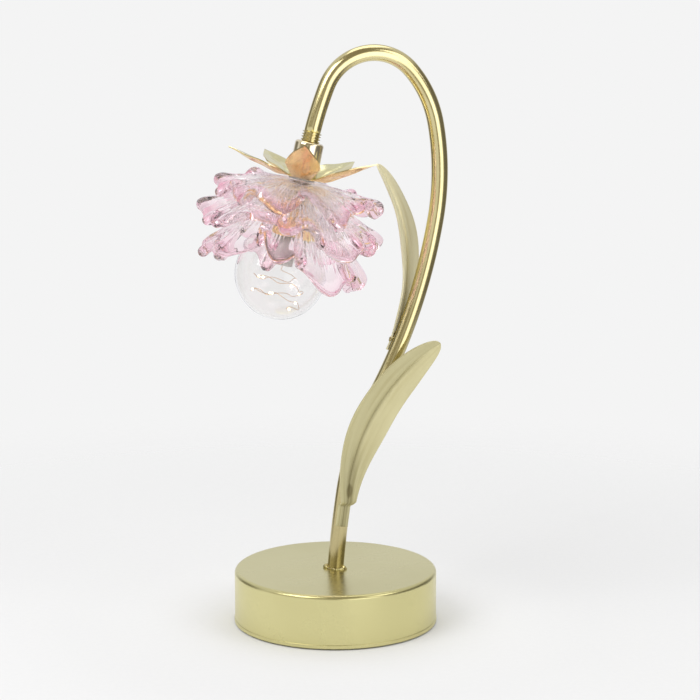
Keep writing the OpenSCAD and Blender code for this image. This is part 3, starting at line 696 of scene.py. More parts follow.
@dataclass(frozen=True)
class ClearGlass:
    """Blown clear glass or clear plastic, with the faint waves of its making."""

    name: str
    light: Colour
    dark: Colour
    roughness: float = 0.0
    wave: float = 0.1
    ior: float = 1.45

    def material(self) -> bpy.types.Material:
        """Build the glass.

        Returns:
            The material.
        """
        material, graph = new_material(self.name)
        colour = EFFECTS.tone(graph, 25.0, self.light, self.dark)
        bump = graph.add("ShaderNodeBump", {
            "Height": graph.noise(45.0, 1.0), "Strength": self.wave, "Distance": 0.001,
        })
        graph.principled(Base_Color=colour, Roughness=self.roughness, IOR=self.ior,
                         Transmission_Weight=1.0, Normal=bump.outputs[0])
        return material


@dataclass(frozen=True)
class Glow:
    """Clear resin over a lit lamp chip: brightest in the middle of the drop."""

    name: str
    core: Colour
    skin: Colour
    strength: float

    def material(self) -> bpy.types.Material:
        """Build the glowing resin.

        Returns:
            The material.
        """
        material, graph = new_material(self.name)
        facing = graph.add("ShaderNodeLayerWeight", {"Blend": 0.4}).outputs["Facing"]
        edge = graph.math("MULTIPLY_ADD", graph.noise(900.0), 0.2, facing)
        colour = graph.blend(edge, rgba(self.core), rgba(self.skin))
        graph.principled(Base_Color=colour, Roughness=0.15, Emission_Color=colour,
                         Emission_Strength=self.strength)
        return material


# The studio


@dataclass(frozen=True)
class Panel:
    """A soft lit or dark area of the studio, as metal sees it.

    Its azimuth, half width and soft sides are in degrees. Its low and high ends, and how soft they
    are, are heights on a sphere of radius 1 round the object.
    """

    azimuth: float
    half_width: float
    soft: float
    low: float
    high: float
    level: Colour
    low_soft: float = 0.1
    high_soft: float = 0.12


@dataclass(frozen=True)
class SoftLight:
    """A square studio light, placed in degrees and metres from the object, with watts of power."""

    name: str
    azimuth: float
    elevation: float
    reach: float
    size: float
    power: float


@dataclass
class Studio:
    """Camera, lights, floor and the room that metal and glass reflect, in metres and degrees."""

    target: Vector = field(default_factory=lambda: Vector((0.008645, -0.002316, 0.1703)))
    azimuth: float = -15.0
    elevation: float = 11.077
    distance: float = 1.5
    lens: float = 127.1
    backdrop: float = 0.905
    fill: float = 0.80
    room: float = 0.85
    ceiling: float = 0.68
    floor_tone: float = 0.785
    panels: tuple[Panel, ...] = (
        Panel(180.0, 55.0, 25.0, -1.1, 0.45, (0.74, 0.745, 0.80)),
        Panel(0.0, 80.0, 20.0, 0.12, 2.0, (0.30, 0.27, 0.20)),
        Panel(98.0, 42.0, 16.0, -1.1, 0.50, (0.17, 0.16, 0.14)),
        Panel(-118.0, 18.0, 12.0, -1.1, 0.50, (0.20, 0.19, 0.16)),
        Panel(2.0, 8.0, 6.0, -1.1, 0.45, (0.34, 0.31, 0.25)),
        Panel(32.0, 16.0, 10.0, -1.1, 0.30, (1.9, 1.9, 1.9)),
    )
    lights: tuple[SoftLight, ...] = (
        SoftLight("key", -50.0, 42.0, 1.3, 0.8, 5.6),
        SoftLight("side", 60.0, 35.0, 1.4, 0.7, 2.6),
        SoftLight("top", 170.0, 75.0, 1.3, 0.9, 3.0),
    )
    bounces: int = 96
    glossy_bounces: int = 8
    floor_r: float = 1.2
    fade: tuple[float, float] = (0.25, 0.6)
    hole_r: float = 0.0565
    paper_grain: float = 0.004
    lift: float = 0.035
    lift_fade: tuple[float, float] = (0.17, 0.08)
    zenith: float = 0.72

    def build(self) -> None:
        """Set up the whole studio."""
        self.camera()
        self.world()
        self.soft_lights()
        self.floor()
        bpy.context.scene.view_settings.view_transform = "Standard"
        cycles = bpy.context.scene.cycles
        cycles.max_bounces = self.bounces
        cycles.transmission_bounces = self.bounces
        cycles.glossy_bounces = self.glossy_bounces

    def heading(self, azimuth: float, elevation: float = 0.0) -> Vector:
        """Direction from the object towards an azimuth and elevation, in degrees."""
        a, e = math.radians(azimuth), math.radians(elevation)
        return Vector((math.sin(a) * math.cos(e), -math.cos(a) * math.cos(e), math.sin(e)))

    def camera(self) -> None:
        """Stand the camera where the photograph was taken."""
        back = self.heading(self.azimuth, self.elevation)
        bpy.ops.object.camera_add(location=self.target + back * self.distance)
        camera = bpy.context.object
        camera.name = "camera"
        camera.rotation_euler = (-back).to_track_quat("-Z", "Y").to_euler()
        camera.data.lens = self.lens
        camera.data.sensor_width = 36.0
        bpy.context.scene.camera = camera

    def world(self) -> None:
        """Give the room a white backdrop, soft fill, and the panels that metal reflects.

        The camera sees the backdrop, glass passes on a backdrop that dims overhead, metal sees the
        panels, and everything else gets the fill.
        """
        world = bpy.data.worlds.new("studio")
        world.use_nodes = True
        bpy.context.scene.world = world
        graph = Graph(world.node_tree)
        ray = graph.add("ShaderNodeTexCoord").outputs["Generated"]
        height = graph.add("ShaderNodeSeparateXYZ", {"Vector": ray}).outputs["Z"]
        flat = graph.add("ShaderNodeVectorMath", {0: ray, 1: (1.0, 1.0, 0.0)}, operation="MULTIPLY")
        level = graph.add("ShaderNodeVectorMath", {0: flat.outputs[0]}, operation="NORMALIZE")
        overhead = graph.ramp(height, 0.40, 0.62)
        room = graph.blend(overhead, rgba((self.room,) * 3), rgba((self.ceiling,) * 3))
        for panel in self.panels:
            aim = self.heading(self.azimuth + panel.azimuth)
            both = {0: level.outputs[0], 1: aim}
            dot = graph.add("ShaderNodeVectorMath", both, operation="DOT_PRODUCT")
            far = math.cos(math.radians(panel.half_width + panel.soft))
            near = math.cos(math.radians(max(0.0, panel.half_width - panel.soft)))
            over = graph.ramp(height, panel.low - panel.low_soft, panel.low + panel.low_soft)
            below = graph.ramp(height, panel.high + panel.high_soft, panel.high - panel.high_soft)
            beside = graph.ramp(dot.outputs["Value"], far, near)
            mask = graph.math("MULTIPLY", beside, graph.math("MULTIPLY", over, below))
            room = graph.blend(mask, room, rgba(panel.level))
        clear = graph.grey(graph.ramp(height, 0.30, 0.95, (self.backdrop, self.zenith)))
        path = graph.add("ShaderNodeLightPath")
        backdrop = rgba((self.backdrop,) * 3)
        seen = graph.blend(path.outputs["Is Glossy Ray"], rgba((self.fill,) * 3), room)
        seen = graph.blend(path.outputs["Is Transmission Ray"], seen, clear)
        seen = graph.blend(path.outputs["Is Camera Ray"], seen, backdrop)
        light = graph.add("ShaderNodeBackground", {"Color": seen, "Strength": 1.0})
        graph.add("ShaderNodeOutputWorld", {"Surface": light.outputs[0]})

    def soft_lights(self) -> None:
        """Hang the square lights round the object."""
        for light in self.lights:
            aim = self.heading(self.azimuth + light.azimuth, light.elevation)
            bpy.ops.object.light_add(type="AREA", location=self.target + aim * light.reach)
            lamp = bpy.context.object
            lamp.name = light.name
            lamp.rotation_euler = (-aim).to_track_quat("-Z", "Y").to_euler()
            lamp.data.size = light.size
            lamp.data.energy = light.power

    def floor(self) -> None:
        """Lay a pale round floor that fades into the backdrop, and that lets the underside be seen."""
        clear_selection()
        bpy.ops.mesh.primitive_circle_add(vertices=64, radius=self.floor_r, fill_type="TRIFAN")
        floor = named("floor")
        material, graph = new_material("floor_paper")
        away = graph.add("ShaderNodeVectorMath", {0: graph.place()}, operation="LENGTH").outputs["Value"]
        below = graph.add("ShaderNodeNewGeometry").outputs["Backfacing"]
        hole = graph.ramp(away, self.hole_r + 0.0005, self.hole_r - 0.0005)
        fade = graph.math("MAXIMUM", graph.math("MAXIMUM", graph.ramp(away, *self.fade), below), hole)
        grain = (self.floor_tone - self.paper_grain, self.floor_tone + self.paper_grain)
        tone = graph.ramp(graph.noise(300.0), 0.3, 0.7, grain)
        # Paler round the base, which lifts the shadow there
        tone = graph.math("ADD", tone, graph.ramp(away, *self.lift_fade, (0.0, self.lift)))
        paper = graph.add("ShaderNodeBsdfDiffuse", {"Color": graph.grey(tone)})
        gone = graph.add("ShaderNodeBsdfTransparent")
        shaders = {0: fade, 1: paper.outputs[0], 2: gone.outputs[0]}
        graph.put_out(graph.add("ShaderNodeMixShader", shaders))
        floor.data.materials.append(material)


# The stem's line, which everything above the base hangs on


@dataclass(frozen=True)
class Bend:
    """One arc of the stem: its radius in mm and its turn in degrees, towards +X if positive."""

    radius: float
    turn: float

    @property
    def side(self) -> float:
        """1 if the arc turns towards +X, otherwise -1."""
        return -1.0 if self.turn < 0 else 1.0

    def end(self) -> Matrix:
        """The frame at the arc's end, seen from its start.

        Returns:
            The frame, in metres.
        """
        a = math.radians(self.turn)
        sideways = self.side * self.radius * (1 - math.cos(a))
        return moved(sideways, 0, self.radius * math.sin(abs(a))) @ tilted(self.turn)


@dataclass
class StemLine:
    """The line of the stem, from the base up and over to the flower."""

    base_top: float = 33.5
    lean: float = 4.7
    bends: tuple[Bend, ...] = (
        Bend(720, 3.8), Bend(180, 20.2), Bend(345, -19), Bend(167, -20), Bend(68, -31),
        Bend(31, -117), Bend(230, -8.5),
    )

    def foot(self) -> Matrix:
        """The frame where the stem leaves the base."""
        return Matrix.Translation((0, 0, self.base_top * MM)) @ tilted(self.lean)

    def after(self, bends: tuple[Bend, ...]) -> Matrix:
        """The frame at the end of a walk along bends.

        Args:
            bends: the bends to walk, from the base.

        Returns:
            The frame, in metres.
        """
        place = self.foot()
        for bend in bends:
            place = place @ bend.end()
        return place

    def flower(self) -> Matrix:
        """The flower's frame: its origin at the holder's top, its Z axis down the flower."""
        return self.after(self.bends)


LINE = StemLine()
FLOWER = LINE.flower()
LOW_LEAF_AT = (Bend(720, 3.3),)
HIGH_LEAF_AT = LINE.bends[:2] + (Bend(345, -5.1),)


# Finishes


GOLD = Solid("satin_gold_lacquer", (0.72, 0.67, 0.345), (0.68, 0.63, 0.315), metallic=1.0, low=0.26,
             high=0.30, grain=2200.0, depth=0.03, patches=12.0, rubbed=(0.86, 0.78, 0.46), reach=0.35)
# The drawn tube darkens down towards its foot: painted shade
TUBE_GOLD = Solid("drawn_tube_gold", (0.78, 0.69, 0.38), (0.70, 0.61, 0.32), metallic=1.0, low=0.13,
                  high=0.22, grain=1100.0, depth=0.08, lower_shade=(0.54, 0.46, 0.24))
# The two leaves share one lacquer, in two copies painted for light and shade: the upper leaf's lighter, the
# lower leaf's darker
LEAF_GOLD = BrushedLeaf("leaf_gold_lacquer", (0.64, 0.59, 0.34), (0.50, 0.44, 0.20), (0.15, 0.12, 0.04),
                        metallic=0.35, mark=0.172)
HIGH_LEAF_GOLD = BrushedLeaf("high_leaf_gold_lacquer", (0.95, 0.89, 0.62), (0.74, 0.65, 0.34),
                             (0.22, 0.18, 0.06), metallic=0.4, crease=0.8)
WELD_GOLD = Solid("lacquered_weld", (0.62, 0.55, 0.26), (0.36, 0.30, 0.14), metallic=1.0, low=0.18,
                  high=0.4, grain=500.0, depth=0.5, patches=400.0)
# The holder's gold is paler than the cap's polished gold: a painted reflection of the white backdrop in its
# left side
HOLDER_GOLD = Solid("mirror_gold", (0.96, 0.87, 0.66), (0.92, 0.80, 0.55), metallic=1.0, low=0.04,
                    high=0.09, grain=600.0, depth=0.03)
BRIGHT_GOLD = Solid("polished_gold", (0.90, 0.74, 0.42), (0.84, 0.66, 0.34), metallic=1.0, low=0.05,
                    high=0.12, grain=700.0, depth=0.04)
# The sepals' under side, which faces the pink glass, is painted orange: a painted reflection of the glass
SEPAL_GOLD = Solid("stamped_sheet_gold", (0.84, 0.80, 0.50), (0.78, 0.70, 0.38), metallic=1.0, low=0.12,
                   high=0.24, grain=260.0, depth=0.5, rubbed=(0.96, 0.88, 0.60), reach=0.5,
                   under=(1.0, 0.74, 0.36))
STEEL = Solid("zinc_plated_steel", (0.62, 0.62, 0.60), (0.52, 0.53, 0.53), metallic=1.0, low=0.25, high=0.4)
IRON = Solid("ballast_iron", (0.10, 0.10, 0.10), (0.16, 0.13, 0.11), metallic=0.6, low=0.55, high=0.75,
             depth=0.4, patches=60.0)
BLACK = Solid("moulded_black_plastic", (0.022, 0.022, 0.024), (0.03, 0.03, 0.032), low=0.42, high=0.55,
              grain=2600.0, depth=0.35, rubbed=(0.07, 0.07, 0.072))
RUBBER = Solid("foot_rubber", (0.035, 0.034, 0.033), (0.05, 0.048, 0.046), low=0.7, high=0.85, depth=0.5)
CELL = Solid("cell_jacket", (0.05, 0.16, 0.13), (0.04, 0.13, 0.11), low=0.2, high=0.3, coat=0.4)
BOARD = Solid("board_laminate", (0.03, 0.20, 0.08), (0.02, 0.15, 0.06), low=0.3, high=0.45, coat=0.2)
JACKET = Solid("lead_jacket", (0.45, 0.03, 0.02), (0.38, 0.025, 0.02), low=0.35, high=0.5)
SOFT = Solid("soft_white_washer", (0.80, 0.80, 0.78), (0.72, 0.72, 0.70), low=0.5, high=0.65)
SLEEVE = Solid("white_sleeve", (0.92, 0.90, 0.84), (0.86, 0.84, 0.78), low=0.35, high=0.5)
WIRE = Solid("enamelled_wire", (0.80, 0.52, 0.28), (0.66, 0.40, 0.20), metallic=1.0, low=0.2, high=0.35)
CLEAR = ClearGlass("blown_clear_glass", (0.98, 0.97, 0.965), (0.955, 0.95, 0.95))
SPACER = ClearGlass("clear_spacer_plastic", (0.96, 0.95, 0.94), (0.92, 0.91, 0.90), roughness=0.08)
LIGHT = Glow("lit_resin", (1.0, 0.88, 0.62), (1.0, 0.72, 0.38), 3.5)
PINK_UPPER = PressedGlass("pink_glass_upper", (0.996, 0.97, 0.975), (0.93, 0.60, 0.71), FLOWER)
PINK_MIDDLE = PressedGlass("pink_glass_middle", (0.996, 0.968, 0.976), (0.95, 0.69, 0.78), FLOWER)
PINK_LOWER = PressedGlass("pink_glass_lower", (0.994, 0.96, 0.97), (0.95, 0.72, 0.80), FLOWER)


# Sub-assemblies


@dataclass
class Base:
    """The round base with its ballast, battery box, switch and driver."""

    def build(self) -> None:
        """Dress the base's own parts."""
        dress(GOLD.material(), "base_shell")
        dress(IRON.material(), "ballast_disc")
        dress(STEEL.material(), "cover_standoffs", "cover_screws", "tray_screws", "contact_plates",
              "contact_springs", "switch_screws", "board_screws")
        dress(BLACK.material(), "bottom_cover", "battery_tray", "battery_door", "switch_body",
              "switch_knob")
        dress(RUBBER.material(), "foot_ring")
        dress(CELL.material(), "battery_cells")
        dress(BOARD.material(), "driver_board")
        dress(JACKET.material(), "battery_leads", "inner_lead")


@dataclass(frozen=True)
class Weld:
    """An uneven ring of weld.

    The radius and the bead's own radius are in mm, rough is the share by which the bead's size
    wanders, and each burr has a direction in degrees and a height in bead radii.
    """

    name: str
    place: Matrix
    radius: float
    bead: float
    seed: int
    burrs: tuple[tuple[float, float], ...]
    rough: float = 0.7
    burr_w: float = 0.16
    flat: float = 0.9
    wander: float = 0.12
    waves: tuple[tuple[float, float, float], ...] = ((0.5, 5, 1), (0.35, 11, 2.3), (0.3, 19, 0.7))

    def build(self, material: bpy.types.Material) -> None:
        """Lay the bead.

        Args:
            material: its finish.
        """
        clear_selection()
        radius, bead = self.radius * MM, self.bead * MM
        bpy.ops.mesh.primitive_torus_add(
            major_segments=96, minor_segments=14, major_radius=radius, minor_radius=bead,
        )
        ring = named(self.name)
        points = mesh_points(ring)
        angle = np.arctan2(points[:, 1], points[:, 0])
        out = np.hypot(points[:, 0], points[:, 1]) - radius
        swell = 1 + self.rough * sum(
            height * np.sin(count * angle + shift * self.seed) for height, count, shift in self.waves
        )
        for direction, height in self.burrs:
            away = np.angle(np.exp(1j * (angle - math.radians(direction))))
            swell += height * np.exp(-np.square(away / self.burr_w))
        spread = radius + out * swell
        lift = self.wander * bead * np.sin(7 * angle + self.seed)
        points[:, 0] = spread * np.cos(angle)
        points[:, 1] = spread * np.sin(angle)
        points[:, 2] = points[:, 2] * swell * self.flat + lift
        move_points(ring, points)
        ring.data.transform(self.place)
        smooth(ring, 80.0)
        mounted(ring, Slot.SATIN, material)


@dataclass
class Stem:
    """The bent tube, with its thread at the holder and the welds that join it."""

    radius: float = 5.0
    wall: float = 1.0
    sides: int = 48
    step: float = 2.5
    sink: float = 1.0
    thread_l: float = 6.4
    thread_root: float = 4.75
    thread_crest: float = 5.75
    ridges: int = 4
    runout: float = 0.1
    socket_l: float = 8.5
    weld_gap: float = 0.3
    weld_long: float = 2.2

    def build(self) -> None:
        """Bend the tube, cut its thread, and weld its foot and the upper leaf's root."""
        mounted(self.tube(), Slot.SATIN, TUBE_GOLD.material(), "stem_tube")
        gold = WELD_GOLD.material()
        Weld("foot_weld", LINE.foot(), self.radius + self.weld_gap, 0.85, 5,
             ((165, 1.6), (-48, 2.2), (-70, 1.2), (60, 1.0))).build(gold)
        # On the tube's side, where the upper leaf's root meets it
        long = Matrix.Diagonal((self.weld_long, 1.0, 1.0, 1.0))
        at_leaf = LINE.after(HIGH_LEAF_AT) @ moved(-4.4, 2.4, 7.6) @ tilted(-62) @ long
        Weld("leaf_weld", at_leaf, 1.5, 0.6, 3, ((30, 1.2),)).build(gold)

    def tube(self) -> bpy.types.Object:
        """Spin a ring along each bend and draw the thread at its end.

        Returns:
            The tube, with its wall.
        """
        clear_selection()
        place = LINE.foot()
        start = place @ Vector((0, 0, -self.sink * MM))
        bpy.ops.mesh.primitive_circle_add(
            vertices=self.sides, radius=self.radius * MM, fill_type="NOTHING", location=start,
            rotation=place.to_euler(),
        )
        tube = named("stem")
        bpy.ops.object.transform_apply(location=True, rotation=True, scale=True)
        open_mesh(tube)
        self.push(place, self.sink)
        last = LINE.bends[-1]
        cut = math.degrees(self.thread_l / last.radius)
        for bend in LINE.bends[:-1] + (Bend(last.radius, last.turn + cut),):
            centre = place @ Vector((bend.side * bend.radius * MM, 0, 0))
            length = bend.radius * math.radians(abs(bend.turn))
            bpy.ops.mesh.spin(
                steps=max(3, round(length / self.step)), angle=math.radians(abs(bend.turn)),
                center=centre, axis=(0, -bend.side, 0),
            )
            place = place @ bend.end()
        ridge = (self.thread_root, self.thread_crest, self.thread_crest, self.thread_root)
        step = self.thread_l / self.ridges / len(ridge)
        drawn = self.radius
        for radius in ridge * self.ridges:
            place = self.ring(place, step, radius / drawn)
            drawn = radius
        place = self.ring(place, self.runout, self.radius / drawn)
        self.push(place, self.socket_l)
        bpy.ops.mesh.select_all(action="SELECT")
        bpy.ops.mesh.normals_make_consistent(inside=False)
        close_mesh()
        smooth(tube, 50.0)
        apply_modifier(tube, "SOLIDIFY", thickness=self.wall * MM, offset=-1.0)
        return tube

    def push(self, place: Matrix, length: float) -> None:
        """Extrude the open end straight on along the tube."""
        step = place.to_3x3() @ Vector((0, 0, length * MM))
        bpy.ops.mesh.extrude_edges_move(TRANSFORM_OT_translate={"value": step})

    def ring(self, place: Matrix, length: float, grow: float) -> Matrix:
        """Extrude the open end on and draw it wider or narrower.

        Args:
            place: the frame of the present end.
            length: how far on, in mm.
            grow: the new end's width over the present one's.

        Returns:
            The frame of the new end.
        """
        self.push(place, length)
        place = place @ Matrix.Translation((0, 0, length * MM))
        bpy.ops.transform.resize(value=(grow, grow, grow), center_override=place.translation)
        return place


@dataclass
class Leaf:
    """A stamped leaf, folded along its midrib and welded to the stem."""

    name: str
    node: str
    bends: tuple[Bend, ...]
    origin: tuple[float, float, float]
    lean: float
    bow: float
    twist: float
    cup: float
    mirror: Mirror
    tab_l: float = 0.0
    dent: float = 0.0
    taper: float = 0.0
    length: float = 120.0
    bend_r: float = 109.0
    half_w: float = 13.2
    root_w: float = 4.8
    sheet: float = 1.0
    fold: float = 14.0
    tab_w: float = 7.2
    stand_off: float = 0.55
    crease: float = 0.5
    crease_w: float = 0.9
    ripple: float = 0.35
    dent_at: float = 0.075
    dent_half: tuple[float, float] = (1.9, 4.0)
    edge_r: float = 0.28
    rows: int = 120
    columns: int = 28

    def build(self, material: bpy.types.Material) -> None:
        """Shape the sheet, thicken it and round its edges.

        Args:
            material: the leaf's finish.
        """
        clear_selection()
        bpy.ops.mesh.primitive_grid_add(x_subdivisions=self.columns, y_subdivisions=self.rows, size=2.0)
        leaf = named(self.name)
        flat = mesh_points(leaf)
        move_points(leaf, self.sheet_points(flat[:, 0], (flat[:, 1] + 1) / 2) * MM)
        leaf.data.transform(self.place())
        tidy_faces(leaf)
        apply_modifier(leaf, "SOLIDIFY", thickness=self.sheet * MM, offset=0.0)
        apply_modifier(leaf, "BEVEL", width=self.edge_r * MM, segments=2, limit_method="ANGLE",
                       angle_limit=math.radians(50))
        tidy_faces(leaf)
        smooth(leaf, 60.0)
        mounted(leaf, Slot.SATIN, material, self.node)

    def place(self) -> Matrix:
        """The leaf's own frame.

        Returns:
            The frame, in metres.
        """
        flip = Matrix.Scale(-1, 4, self.mirror.value)
        set_down = moved(*self.origin) @ tilted(self.lean)
        at = LINE.after(self.bends)
        return at @ flip @ set_down if self.mirror is Mirror.Y else at @ set_down @ flip

    def half(self, t: np.ndarray) -> np.ndarray:
        """Half width of the leaf along its midrib.

        Args:
            t: places along the midrib, from the root at 0 to the tip at 1.

        Returns:
            The half widths, in mm.
        """
        grown = np.sin(np.pi / 2 * np.power(2 * np.minimum(t, 0.5), 1.15))
        low = self.root_w + (self.half_w - self.root_w) * grown
        high = self.half_w * np.sqrt(np.maximum(0.002, 1 - np.power(2 * t - 1, 2)))
        return np.where(t < 0.5, low, high) * (1 - self.taper * t * t)

    def sheet_points(self, v: np.ndarray, q: np.ndarray) -> np.ndarray:
        """Points of the middle of the sheet.

        Args:
            v: place across the leaf, from -1 to 1.
            q: place along the sheet, from the tab's end at 0 to the tip at 1.

        Returns:
            Rows of x, y and z, in mm.
        """
        share = self.tab_l / (self.tab_l + self.length)
        t = np.clip((q - share) / (1 - share), 0, 1)
        blade = self.blade(v, t)
        if not self.tab_l:
            return blade
        down = np.clip(1 - q / share, 0, 1) * self.tab_l
        tab = self.tab(v, down)
        k = eased((q / share - 0.93) / 0.2)[:, None]
        return tab * (1 - k) + blade * k

    def blade(self, v: np.ndarray, t: np.ndarray) -> np.ndarray:
        """Points of the leaf's blade, with its crease, ripples and dent.

        Args:
            v: places across the leaf, from -1 to 1.
            t: places along the midrib, from 0 to 1.

        Returns:
            Rows of x, y and z, in mm.
        """
        turn = t * self.length / self.bend_r
        twist = math.radians(self.twist)
        rib = np.stack([
            self.bend_r * (1 - np.cos(turn)),
            -self.bow * t - self.bow * np.sin(np.pi * t),
            self.bend_r * np.sin(turn),
        ], 1)
        across = np.stack([np.cos(turn), 0 * turn, -np.sin(turn)], 1)
        y_axis = np.array([0.0, 1.0, 0.0])
        side = math.cos(twist) * across + math.sin(twist) * y_axis
        face = -math.sin(twist) * across + math.cos(twist) * y_axis
        half = self.half(t)
        off = v * half
        fold = math.radians(self.fold)
        body = np.clip(t / 0.08, 0, 1) * np.clip((0.97 - t) / 0.2, 0, 1)
        groove = -self.crease * np.exp(-np.square(off / self.crease_w)) * body
        ripple = self.ripple * np.abs(v) ** 2.5 * np.sin(16 * t + 2.0 * v) * body
        wide, long = self.dent_half
        along = (t - self.dent_at) * self.length
        press = self.dent * np.exp(-np.square(along / long) - np.square(off / wide))
        up = self.cup * (np.abs(off) * math.sin(fold) + groove + ripple) + press
        return rib + (off * math.cos(fold))[:, None] * side - up[:, None] * face

    def tab(self, v: np.ndarray, down: np.ndarray) -> np.ndarray:
        """Points of the tab, curved to the tube below the leaf's root.

        Args:
            v: places across the tab, from -1 to 1.
            down: lengths down the tab from the leaf's root, in mm.

        Returns:
            Rows of x, y and z, in mm, in the leaf's own frame.
        """
        x = v * self.tab_w / 2
        radius = Stem.radius + self.stand_off
        p = np.stack([x, np.sqrt(radius ** 2 - x ** 2), -down], 1) - np.array(self.origin)
        c, s = math.cos(math.radians(self.lean)), math.sin(math.radians(self.lean))
        return np.stack([c * p[:, 0] - s * p[:, 2], p[:, 1], s * p[:, 0] + c * p[:, 2]], 1)


@dataclass
class Leaves:
    """The two leaves of the stem."""

    def build(self) -> None:
        """Make both leaves from the same stamping."""
        Leaf("leaf_low", "lower_leaf", LOW_LEAF_AT, (1.9, 5.85, 0), lean=-9.3, bow=-3, twist=-8,
             cup=-1, mirror=Mirror.Y, tab_l=14.0, dent=-0.9).build(LEAF_GOLD.material())
        Leaf("leaf_high", "upper_leaf", HIGH_LEAF_AT, (-3.8, 6.2, -2.4), lean=4.9, bow=-3, twist=-50,
             cup=1, mirror=Mirror.X, taper=0.3, crease=0.9).build(HIGH_LEAF_GOLD.material())


@dataclass
class Holder:
    """The holder under the stem, and the threaded pipe that everything hangs on."""

    radius: float = 8.75
    length: float = 21.5
    shoulder: float = 2.0
    bore: float = 5.12
    pipe_top: float = 12.5
    pipe_end: float = 64.8
    pipe_r: float = 5.0
    pipe_bore: float = 3.6
    pitch: float = 1.5
    thread_h: float = 0.35
    edge: float = 0.3

    def build(self) -> None:
        """Turn the holder and the pipe."""
        gold = HOLDER_GOLD.material()
        holder = turned("holder", self.sleeve_profile(), 96, FLOWER, 30.0)
        mounted(holder, Slot.POLISHED, gold, "flower_holder")
        pipe = turned("threaded_pipe", self.pipe_profile(), 48, FLOWER, 20.0)
        mounted(pipe, Slot.POLISHED, gold, "threaded_nipple")

    def sleeve_profile(self) -> Profile:
        """The holder's section, with its round shoulder and broken edges.

        Returns:
            Pairs of radius and height, in mm.
        """
        centre = (self.radius - self.shoulder, self.shoulder)
        outside = arc(centre, self.shoulder, -90, 0, 8)
        outside += [(self.radius, self.length - self.edge), (self.radius - self.edge, self.length)]
        inside = [(self.bore + self.edge, self.length), (self.bore, self.length - self.edge),
                  (self.bore, self.edge), (self.bore + self.edge, 0.0)]
        return outside + inside

    def pipe_profile(self) -> Profile:
        """The pipe's section, with a ridge at each pitch.

        Returns:
            Pairs of radius and height, in mm.
        """
        root = self.pipe_r - self.thread_h
        thread = []
        level = self.pipe_top
        while level < self.pipe_end - self.pitch:
            thread += [(root, level), (self.pipe_r, level + 0.4 * self.pitch),
                       (self.pipe_r, level + 0.6 * self.pitch)]
            level += self.pitch
        return thread + [(root, self.pipe_end), (self.pipe_bore, self.pipe_end),
                         (self.pipe_bore, self.pipe_top)]


